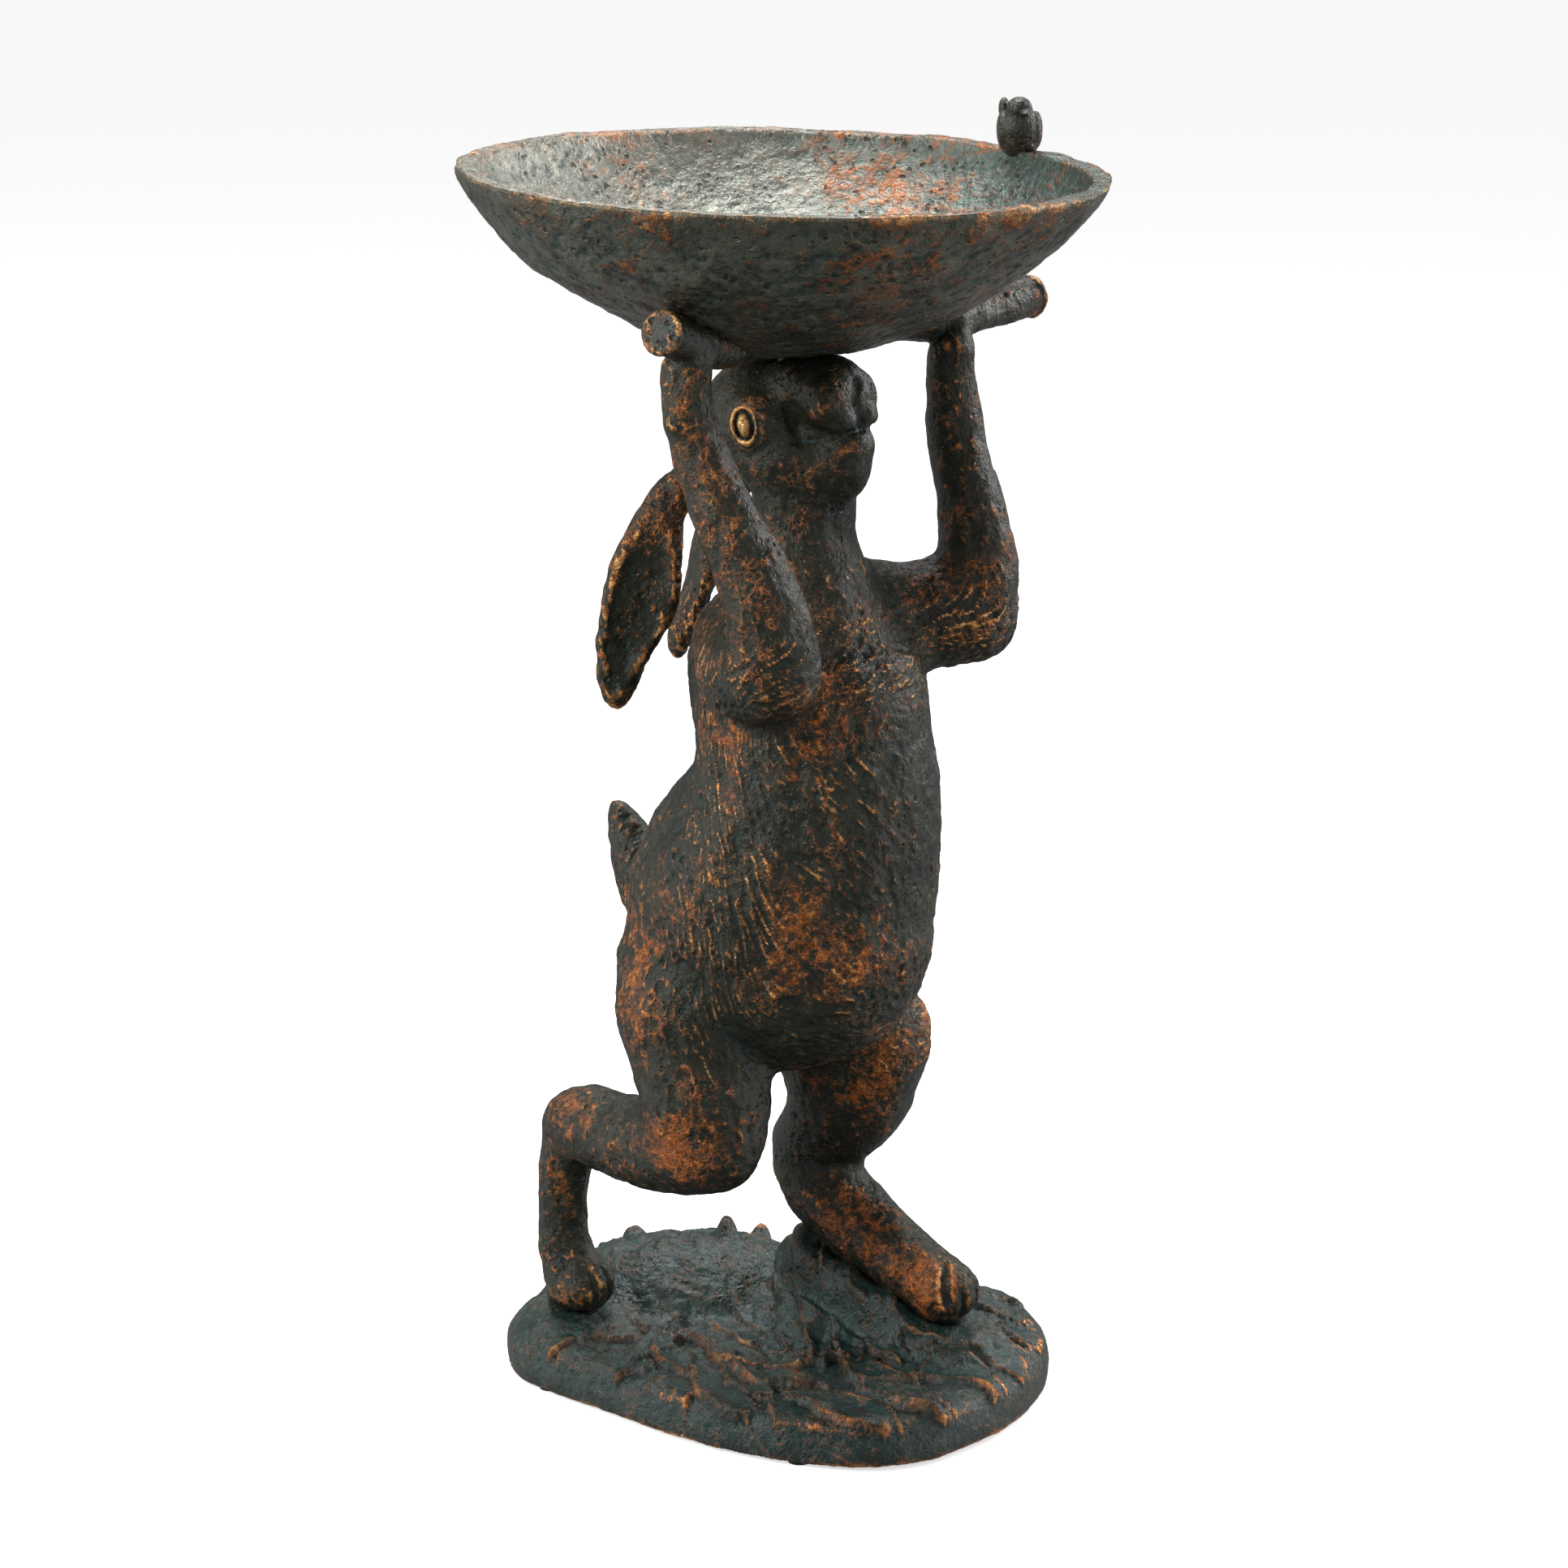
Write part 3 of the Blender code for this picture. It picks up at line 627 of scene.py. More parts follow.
def fur(points):
    """Height of the modelled coat, in millimetres: clumps that run down the body, dabs and small pits."""
    belly = band(points[:, 2], 0.16, 0.22, 0.33, 0.40)
    slant = 0.15 + 0.75 * belly * smoothstep(-0.05, 0.0, points[:, 0])
    down = np.stack([slant, 0 * slant, 0 * slant - 1], axis=1)
    down /= np.linalg.norm(down, axis=1)[:, None]
    sway = [noise.smooth(points, 45) for noise in (NOISE, NOISE_2)]
    sway = np.stack([*sway, 0 * slant], axis=1)
    flow = points + 0.006 * sway
    squeezed = flow - 0.58 * np.sum(flow * down, axis=1)[:, None] * down
    clumps = NOISE.fractal(squeezed, 10, 3, 0.6)
    clumps = 1 - np.abs(clumps) * 2.2
    dabs = NOISE_2.fractal(points, 17, 3, 0.5)
    pits = smoothstep(0.34, 0.08, NOISE.cells(points, 6.5))
    pits *= smoothstep(-0.15, 0.4, NOISE_2.smooth(points + 1, 40))
    body = band(points[:, 2], 0.13, 0.2, 0.36, 0.44)
    return (0.26 + 0.30 * body) * clumps + 0.80 * dabs - 0.9 * pits


def front_highlight_share(points, normals, edges):
    """Which parts face the camera, where rust and rubbed copper are added as a painted highlight: most on the
    limbs, and less on the trunk.
    """
    facing = relaxed(-0.95 * normals[:, 1] - 0.2 * normals[:, 0] + 0.2 * normals[:, 2], edges, 12)
    limb = points[:, 2] > 0.36
    limb &= np.hypot(points[:, 0], points[:, 1]) > 0.05
    limb |= points[:, 2] < 0.16
    return smoothstep(0.35, 0.95, facing) * (0.35 + 0.65 * limb)


def make_figure():
    field = make_figure_field()
    eye = carve_eyes(field)
    carve_muzzle(field)
    carve_ear(field, RIGHT_CUP, (0, -1))
    carve_ear(field, LEFT_CUP, (0.985, 0.173))
    carve_toes(field)
    carve_branch_ends(field)
    points, faces = field.surface()
    normals = field.gradient(points)
    edges = edges_of(faces)
    gold = eye_share(points, eye)
    aside = np.hypot(points[:, 0], points[:, 1])
    head = smoothstep(0.455, 0.468, points[:, 2]) * smoothstep(0.075, 0.055, aside)
    height = fur(points) * (1 - 0.55 * head) * (1 - gold)
    points = points + normals * (height * MM)[:, None]
    normals = vertex_normals(points, faces)
    attributes = relief(points, normals, edges, 5, 33)
    # the share of painted highlight on the parts that face the camera
    attributes |= {"front": front_highlight_share(points, normals, edges), "gold": gold}
    owners = field.owners_at(points[faces].mean(1))
    pieces = split_pieces(points, faces, normals, owners, field.names, attributes)
    for name, piece in pieces.items():
        green = name.endswith("branch")
        paint = "branch_bronze" if green else "rabbit_bronze"
        settle(piece, name, paint)


# ---- basin

BASIN_RADIUS = 147.5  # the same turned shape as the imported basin
BASIN_DEPTH = 84.0
BASIN_WALL = 8.0
BASIN_CURVE = 1.40
BASIN_FULLNESS = 0.565
RIM_HEIGHT = 590.0
BASIN_TILT = math.radians(1.4)
BASIN_SIDES = 560
INNER_RINGS = 82
RIM_RINGS = 6
OUTER_RINGS = 86


def basin_radius_at(depth):
    return BASIN_RADIUS * (1 - np.clip(depth / BASIN_DEPTH, 0, 1) ** BASIN_CURVE) ** BASIN_FULLNESS


def basin_profile(inner_rings, rim_rings, outer_rings):
    """Radius and height of each ring: up the inside, over the rim, down the outside."""
    turn = np.linspace(0, 1, 400)
    depth = BASIN_DEPTH * np.sin(math.pi / 2 * turn)
    outer = np.stack([basin_radius_at(depth), RIM_HEIGHT - depth], axis=1)
    inner = outer.copy()
    inner[:, 0] *= 1 - BASIN_WALL / BASIN_RADIUS
    inner[:, 1] = RIM_HEIGHT - depth * (1 - BASIN_WALL / BASIN_DEPTH)
    inner = evenly(inner[::-1], inner_rings)
    outer = evenly(outer, outer_rings)
    across = np.linspace(0, 1, rim_rings + 2)[1:-1, None]
    rim = inner[-1] + (outer[0] - inner[-1]) * across
    rim[:, 1] += 0.5 * across[:, 0] - 0.3
    return np.concatenate([inner, rim, outer])


def evenly(line, count):
    """The same line with count points, evenly spaced along it."""
    steps = np.linalg.norm(np.diff(line, axis=0), axis=1)
    place = np.concatenate([[0], np.cumsum(steps)])
    wanted = np.linspace(0, place[-1], count)
    return np.stack([np.interp(wanted, place, line[:, i]) for i in range(line.shape[1])], axis=1)


def ring_faces(rings, sides):
    """The faces between each ring and the next."""
    ring, side = np.meshgrid(np.arange(rings - 1), np.arange(sides), indexing="ij")
    after = (side + 1) % sides
    here, above = ring * sides, (ring + 1) * sides
    return np.stack([above + side, above + after, here + after, here + side], axis=-1).reshape(-1, 4)


def turned_basin(profile, sides):
    """Points of the bowl, lower down a little fuller on the side away from the bird."""
    angle = np.linspace(0, 2 * math.pi, sides, endpoint=False)
    radius, height = profile[:, :1], profile[:, 1:]
    points = np.stack([radius * np.cos(angle), radius * np.sin(angle), height + 0 * angle], axis=-1)
    points = points.reshape(-1, 3) * MM
    depth = smoothstep(0, 0.055, RIM_HEIGHT * MM - points[:, 2]) * smoothstep(0, 0.05, points[:, 2] - 0.508)
    points[:, :2] *= (1 + 0.035 * depth * -np.cos(np.tile(angle, len(profile))))[:, None]
    return points


def cast_height(points, inside, calm, rim):
    """Height of the bowl's rough surface, in millimetres."""
    hewn = NOISE.fractal(points, 34, 3, 0.5)
    flats = NOISE_2.smooth(points, 14)
    warped = points + 0.004 * NOISE_2.smooth(points, 9)[:, None]
    pits = smoothstep(0.42, 0.12, NOISE.cells(warped * (0.7, 1, 1), 4.6))
    pits *= smoothstep(-0.25, 0.35, NOISE_2.fractal(points, 30, 2))
    grain = NOISE_2.fractal(points, 5, 3, 0.6)
    strokes = 1 - 2 * np.abs(NOISE.fractal(warped * (0.45, 1, 1), 7, 2, 0.5))
    height = (1.05 * hewn + 0.60 * flats + 0.36 * grain) * calm
    height += np.where(inside, 0.42, 0.12) * strokes * (1 - rim)
    height -= np.where(inside, 0.8, 0.6) * pits * (1 - rim)
    return height + rim * 0.7 * NOISE.smooth(points, 20)


def make_basin():
    coarse = 1
    sides, inner_rings = BASIN_SIDES // coarse, INNER_RINGS // coarse
    profile = basin_profile(inner_rings, RIM_RINGS, OUTER_RINGS // coarse)
    profile[0, 0] = profile[-1, 0] = 0.5
    points = turned_basin(profile, sides)
    faces = ring_faces(len(profile), sides)
    ring = np.repeat(np.arange(len(profile)), sides)
    edge_ring = inner_rings + RIM_RINGS
    rim = smoothstep(12, 2, np.abs(points[:, 2] / MM - RIM_HEIGHT))
    rim *= smoothstep(130, 138, np.hypot(*points[:, :2].T) / MM)
    calm = 1 - 0.6 * smoothstep(edge_ring - 2, edge_ring - 12, ring)
    height = cast_height(points, ring < inner_rings, calm, rim)
    points = points + vertex_normals(points, faces) * (height * MM)[:, None]
    centre = np.array((0, 0, RIM_HEIGHT * MM))
    turn = np.array(Matrix.Rotation(BASIN_TILT, 3, "Y"))
    points = (points - centre) @ turn.T + centre
    inside = smoothstep(edge_ring + 1, edge_ring - 2, ring)
    inside *= 1 - 0.3 * smoothstep(edge_ring - 9, edge_ring - 5, ring)
    lip = smoothstep(1.2, 0.4, np.abs(ring - edge_ring))
    lip *= smoothstep(-0.2, 0.3, NOISE.smooth(points, 45))
    attributes = relief(points, vertex_normals(points, faces), edges_of(faces), 6, 30)
    attributes |= {"inside": inside, "lip": lip}
    piece = mesh_object("look_basin", points, faces, None, attributes, ring_caps(len(profile), sides))
    settle(piece, "basin", "basin_bronze")


def ring_caps(rings, sides):
    """The small flat faces that close the first and the last ring."""
    first = np.arange(sides)
    last = np.arange(sides)[::-1] + (rings - 1) * sides
    return [first.tolist(), last.tolist()]


# ---- base

# grass blades pressed into the clay: start, bend and end (x, y), half width, height
BLADES = [
    (-120, -2, -110, 12, -98, 2, 7, 2.6), (-99, 4, -86, 18, -71, 6, 8, 3.0),
    (-114, -18, -100, -6, -86, -28, 7, 2.6), (-90, -36, -78, -14, -64, -34, 8, 3.0),
    (-72, -22, -58, -4, -52, 26, 7, 3.6), (-58, 0, -54, -26, -40, -40, 6, 2.8),
    (-74, -48, -56, -56, -38, -58, 6, 2.4), (-38, -34, -32, -62, -16, -80, 7, 3.0),
    (-27, -30, -18, -54, -6, -68, 6, 3.0), (-24, -10, -14, -48, 14, -56, 8, 3.8),
    (-4, -80, 16, -98, 46, -104, 8, 2.6), (2, -70, 24, -74, 50, -96, 8, 3.4),
    (34, -20, 34, -48, 60, -50, 8, 3.8), (38, -58, 58, -74, 82, -82, 7, 3.2),
    (42, -64, 62, -60, 78, -76, 6, 2.6), (64, -42, 84, -32, 104, -58, 8, 3.2),
    (78, -18, 96, -12, 118, -34, 7, 3.0), (98, 22, 110, 18, 119, -2, 7, 3.6),
    (-80, 62, -66, 30, -50, 6, 9, 3.2), (-56, 64, -40, 18, -22, -18, 9, 3.6),
    (-40, 64, -26, 22, -4, -12, 9, 3.6), (-26, 66, -12, 22, 10, -10, 8, 3.4),
    (-14, 72, -4, 32, 12, 8, 8, 3.2), (-34, -10, -12, -30, 10, -26, 8, 3.0),
    (-8, -12, 14, -8, 36, -14, 7, 3.0), (4, 64, 10, 26, 2, -16, 8, 4.2), (14, 70, 20, 26, 16, -26, 7, 4.4),
    (24, 60, 30, 18, 32, -28, 7, 4.0), (38, 14, 44, -12, 56, -26, 7, 3.2), (56, -2, 70, -20, 90, -24, 7, 3.0),
    (-100, 44, -88, 60, -72, 84, 8, 2.8), (-122, 30, -112, 52, -98, 74, 7, 2.6),
    (-60, 84, -44, 98, -20, 96, 8, 2.8), (-30, 82, -8, 96, 18, 92, 8, 2.8), (20, 88, 40, 100, 62, 92, 8, 3.0),
    (40, 76, 62, 84, 86, 76, 8, 3.0), (66, 60, 88, 66, 106, 54, 8, 2.8), (84, 40, 100, 44, 118, 30, 7, 2.8),
    (-12, 70, 4, 84, 26, 78, 7, 3.0), (-92, 88, -74, 100, -52, 104, 7, 2.4),
    (90, 74, 102, 66, 114, 56, 7, 2.6), (60, 98, 76, 96, 92, 88, 7, 2.4),
]
# small round buds: x, y, radius, height
BUDS = [
    (-75, 100, 5.5, 7), (-29, 76, 6, 8), (-13, 98, 6.5, 8), (-42, 104, 4, 4), (-51, 18, 4.5, 6),
    (19, -60, 3.5, 5), (104, 22, 5, 5), (48, 96, 5, 6), (84, 66, 5, 6),
]


BLADE_STEPS = 24


def blade_height(x, y, blade):
    """Height of one blade over each point, its crest, and the foot of the step below that, where a shadow is
    painted, each 0 to 1.
    """
    start, bend, end = np.array(blade[:6]).reshape(3, 2)
    half_width, height = blade[6:]
    t = np.linspace(0, 1, BLADE_STEPS + 1)[:, None]
    line = (1 - t) ** 2 * start + 2 * t * (1 - t) * bend + t * t * end
    near = (np.abs(x - bend[0]) < 45) & (np.abs(y - bend[1]) < 60)
    made, crest, foot = np.zeros((3, len(x)))
    place = np.stack([x[near], y[near]], axis=1)
    steps = line[None] - place[:, None]
    distances = np.linalg.norm(steps, axis=2)
    best = distances.argmin(axis=1)
    rows = np.arange(len(place))
    step = steps[rows, best]
    along = np.gradient(line, axis=0)[best]
    side = (along[:, 1] * step[:, 0] - along[:, 0] * step[:, 1]) / np.linalg.norm(along, axis=1)
    part = best / BLADE_STEPS
    beyond = np.maximum(distances[rows, best] - np.abs(side), 0)
    width = 1.5 * half_width * np.sin(math.pi * np.clip(0.10 + 0.84 * part, 0, 1)) ** 0.7
    across = side / np.maximum(width, 0.1)
    rise = 0.28 + 0.45 * across ** 2 + 0.27 * smoothstep(1.0, -1.0, across)
    tips = smoothstep(2.5, 0.5, beyond)
    edge = band(across, -1.06, -0.88, 0.86, 1.08) * tips
    made[near] = height * rise * edge
    crest[near] = band(across, -1.04, -0.94, -0.90, -0.78) * tips
    # the foot: a strip just beyond the blade's steep edge, painted dark later as the blade's shadow
    foot[near] = band(across, -1.45, -1.12, -1.08, -0.98) * tips
    return made, crest, foot


LEAN = np.array([[0.87, -0.5, 0], [0.5, 0.87, 0], [0, 0, 1]])  # turns the tufts about 30 degrees


def grass(points):
    """Height of the modelled grass over each point, in millimetres, its crests and the feet below them, where
    shadows are painted.
    """
    wobble = 0.0035 * np.stack([noise.fractal(points, 22, 2) for noise in (NOISE, NOISE_2)], axis=1)
    x, y = ((points[:, :2] + wobble) / MM).T
    mound = smoothstep(0.020, 0.030, points[:, 2])
    swirl = smoothstep(-6, 4, x) * smoothstep(75, 60, y)
    uneven = (2.1 + 0.8 * NOISE_2.fractal(points, 18, 2)) * (1 - (0.8 - 0.55 * swirl) * mound)
    uneven *= 1 - 0.35 * smoothstep(60, 100, x)
    total, crests, feet = np.zeros((3, len(points)))
    for blade in BLADES:
        made, crest, foot = blade_height(x, y, blade)
        made = made * uneven
        over = made > 0.2
        total = np.where(over, np.maximum(total * 0.4 + made * 0.8, made), total)
        crests = np.where(over, crest, crests * (1 - foot))
        feet = np.where(over, 0, np.maximum(feet, foot))
    leaning = (points + 3 * wobble[:, [0, 1, 0]] * (1, 1, 0)) @ LEAN
    hair = 1 - 2.0 * np.abs(NOISE.fractal(leaning * (1, 0.30, 0.3), 11, 2, 0.5))
    tufts = 1 - 2.0 * np.abs(NOISE.fractal(leaning * (1, 0.55, 1), 12, 2, 0.5))
    chips = smoothstep(0.1, 0.2, NOISE.fractal(points, 9, 2))
    chips *= smoothstep(0.0, 0.3, NOISE_2.smooth(points, 20))
    total += (0.12 + 1.1 * mound) * hair + 0.2 * tufts + 0.35 * chips
    for bud_x, bud_y, radius, height in BUDS:
        away = np.hypot(x - bud_x, y - bud_y) / radius
        total += height * smoothstep(1.3, 0.35, away) - 1.2 * smoothstep(0.35, 0.0, np.abs(away - 1.45))
    return total, crests * (1 - mound), feet * (1 - 0.4 * mound * (1 - swirl))


CREST_PLACE = (0.008, 0.056, 0.048)  # the swelling behind the leading foot, in metres


def make_base():
    low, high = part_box("base")
    field = Field(np.array(low) - 0.008, np.array(high) + 0.012, BASE_VOXEL)
    field.add_node("base", 0)
    field.blur(2.6 * MM)
    field.put(ball(CREST_PLACE, (9, 8, 9)), CREST_PLACE, 24, 8)
    points, faces = field.surface()
    normals = field.gradient(points)
    upward = smoothstep(0.15, 0.6, normals[:, 2])
    height, crests, feet = grass(points)
    direction = normals * 0.5 + np.array((0, 0, 0.5)) * upward[:, None]
    side = smoothstep(0.1, 0.45, 1 - np.abs(normals[:, 2])) * (points[:, 2] > 4 * MM)
    rough = 0.28 * NOISE.fractal(points, 11, 3, 0.55) + 0.7 * side * NOISE_2.fractal(points, 24, 2)
    free = foot_clearance(points) * upward
    points = points + direction * (height * free * MM)[:, None]
    points = points + normals * (rough * MM * (points[:, 2] > 3 * MM))[:, None]
    points[:, 2] = np.maximum(points[:, 2], low[2])
    above = points[:, 2] - low[2]
    skirt = smoothstep(4 * MM, 1 * MM, above) * smoothstep(-0.97, -0.8, normals[:, 2])
    points[:, 2] -= (low[2] - 0.4 * MM) * skirt
    normals = vertex_normals(points, faces)
    attributes = relief(points, normals, edges_of(faces), 4, 20)
    # foot carries the painted shadow below each blade's steep edge
    attributes |= {"crest": crests * free, "foot": feet * free}
    piece = mesh_object("look_base", points, faces, normals, attributes)
    settle(piece, "base", "base_bronze")


CHUNK = 20000  # points taken at once, to hold memory down


def foot_clearance(points):
    """Zero at the feet, one away from them, so the grass doesn't climb over the toes."""
    free = np.ones(len(points))
    for name in ("right_leg", "left_leg"):
        leg, _ = node_mesh(name)
        leg = leg[leg[:, 2] < 0.09]
        for start in range(0, len(points), CHUNK):
            chunk = slice(start, start + CHUNK)
            away = np.sqrt(((points[chunk, None] - leg[None]) ** 2).sum(axis=2).min(axis=1))
            free[chunk] = np.minimum(free[chunk], smoothstep(0.002, 0.012, away))
    return free


# ---- bird

# the bird's shapes: offset from its place, radii, tilt in degrees, blend
BIRD = [
    ((0, 0, 10.5), (10.0, 11, 10.5), 0, 0), ((0, -1, 15), (8.2, 8.5, 7), 0, 4),
    ((0, 0, 3.5), (7.4, 8, 6), 0, 4),
    ((-0.4, -3.5, 21.8), (6.0, 6.8, 5.6), 0, 2), ((2.2, -10.2, 20.6), (2.3, 3.6, 1.5), 8, 0.5),
    ((-7.0, 8, 20.6), (2.6, 5, 5.4), 35, 1.2),
    ((-7.8, 1, 11.5), (3.0, 8.8, 8.6), -15, 0.6), ((7.8, 1, 11.5), (3.0, 8.8, 8.6), -15, 0.6),
]
BIRD_PLACE = (110.5, 93.5, 584.5)


def make_bird():
    low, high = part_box("bird")
    field = Field(np.array(low) - 0.004, np.array(high) + 0.004, BIRD_VOXEL)
    field.names.append("bird")
    for offset, radii, tilt, blend in BIRD:
        centre = (np.array(BIRD_PLACE) + offset) * MM
        turn = np.array(Matrix.Rotation(math.radians(tilt), 3, "X")).T
        field.put(ball(centre, radii, turn), centre, 20, blend)
    for side in (-1, 1):
        eye = (np.array(BIRD_PLACE) + (-0.3 + 4.2 * side, -7.6, 23.0)) * MM
        field.put(ball(eye, (1.0, 1.0, 1.0)), eye, 4, 0.2)
    field.blur(0.5 * MM)
    points, faces = field.surface()
    normals = field.gradient(points)
    feathers = 1 - 2 * np.abs(NOISE.fractal(points * (1, 1, 0.5), 3.5, 2))
    points = points + normals * (0.10 * MM * feathers)[:, None]
    points = np.clip(points, np.array(low) - 0.002, np.array(high) + 0.001)
    normals = vertex_normals(points, faces)
    attributes = relief(points, normals, edges_of(faces), 10, 30)
    piece = mesh_object("look_bird", points, faces, normals, attributes)
    settle(piece, "bird", "bird_bronze")


# ---- materials

class Graph:
    """Short calls for building the nodes of a material or a world."""

    def __init__(self, owner, place="Object"):
        owner.use_nodes = True
        self.tree = owner.node_tree
        self.place = self.node("TexCoord", {}, place)

    def fill(self, node, inputs):
        """Sets a node's inputs to values, or links them to outputs of other nodes."""
        for key, value in inputs.items():
            if isinstance(value, bpy.types.NodeSocket):
                self.tree.links.new(value, node.inputs[key])
            else:
                node.inputs[key].default_value = value

    def node(self, kind, inputs, output=0, **settings):
        """Adds a node and returns one of its outputs."""
        made = self.tree.nodes.new("ShaderNode" + kind)
        for key, value in settings.items():
            setattr(made, key, value)
        self.fill(made, inputs)
        return made.outputs[output]

    def shade(self, inputs):
        self.fill(self.tree.nodes["Principled BSDF"], inputs)

    def noise(self, scale, detail=4.0, roughness=0.55, distortion=0.0, place=None):
        shape = {"Scale": scale, "Detail": detail, "Roughness": roughness, "Distortion": distortion}
        return self.node("TexNoise", {**shape, "Vector": place or self.place})

    def cells(self, scale, feature="F1", place=None):
        inputs = {"Scale": scale, "Vector": place or self.place}
        return self.node("TexVoronoi", inputs, "Distance", feature=feature)

    def math(self, operation, *values):
        return self.node("Math", dict(enumerate(values)), operation=operation)

    def times(self, a, b):
        return self.math("MULTIPLY", a, b)

    def larger(self, a, b):
        return self.math("MAXIMUM", a, b)

    def total(self, *weighted, **layers):
        """Sum of value times weight; a layer is one of this graph's own values, given by its name."""
        named = [(getattr(self, name), weight) for name, weight in layers.items()]
        made = None
        for value, weight in [*weighted, *named]:
            term = self.times(value, weight)
            made = term if made is None else self.math("ADD", made, term)
        return made

    def ramp(self, value, low, high, to_low=0.0, to_high=1.0):
        """Smooth step of value from low to high."""
        inputs = {"Value": value, "From Min": low, "From Max": high, "To Min": to_low, "To Max": to_high}
        return self.node("MapRange", inputs, "Result", interpolation_type="SMOOTHSTEP")

    def mix(self, share, a, b):
        """Colour a, with a share of colour b."""
        return self.node("Mix", {"Factor": share, "A": a, "B": b}, "Result", data_type="RGBA")

    def attribute(self, name):
        return self.node("Attribute", {}, "Fac", attribute_name=name)

    def along(self, axis):
        """The coordinate along X, Y or Z; on an object it is in metres."""
        return self.node("SeparateXYZ", {0: self.place}, axis)

    def mapped(self, location=(0, 0, 0), scale=(1, 1, 1)):
        """The coordinates, scaled and shifted."""
        return self.node("Mapping", {"Vector": self.place, "Location": location, "Scale": scale})

    def bent(self, scale, reach):
        """The coordinates pushed about by noise, by up to reach."""
        push = self.node("TexNoise", {"Scale": scale, "Detail": 3, "Vector": self.place}, "Color")
        inputs = {0: push, 1: (reach, reach, reach), 2: self.place}
        return self.node("VectorMath", inputs, operation="MULTIPLY_ADD")

    def bump(self, height, distance, strength=1.0):
        return self.node("Bump", {"Strength": strength, "Distance": distance, "Height": height}, "Normal")


# the darkest colour: the dark patina, and also the painted shade in cavities and the painted shadow below the
# grass blades
PATINA_AND_SHADE_DARK = (0.018, 0.022, 0.016, 1)
BROWN = (0.036, 0.034, 0.021, 1)
RUST = (0.540, 0.130, 0.006, 1)
COPPER = (0.620, 0.200, 0.055, 1)
GOLD = (0.800, 0.500, 0.190, 1)
TEAL = (0.009, 0.040, 0.037, 1)
VERDIGRIS = (0.046, 0.092, 0.084, 1)
# pale pewter: partly a painted sheen inside the bowl
PEWTER_SHEEN = (0.330, 0.320, 0.270, 1)
SAGE = (0.150, 0.180, 0.160, 1)
OLIVE = (0.150, 0.160, 0.125, 1)
WHITE = (1, 1, 1, 1)


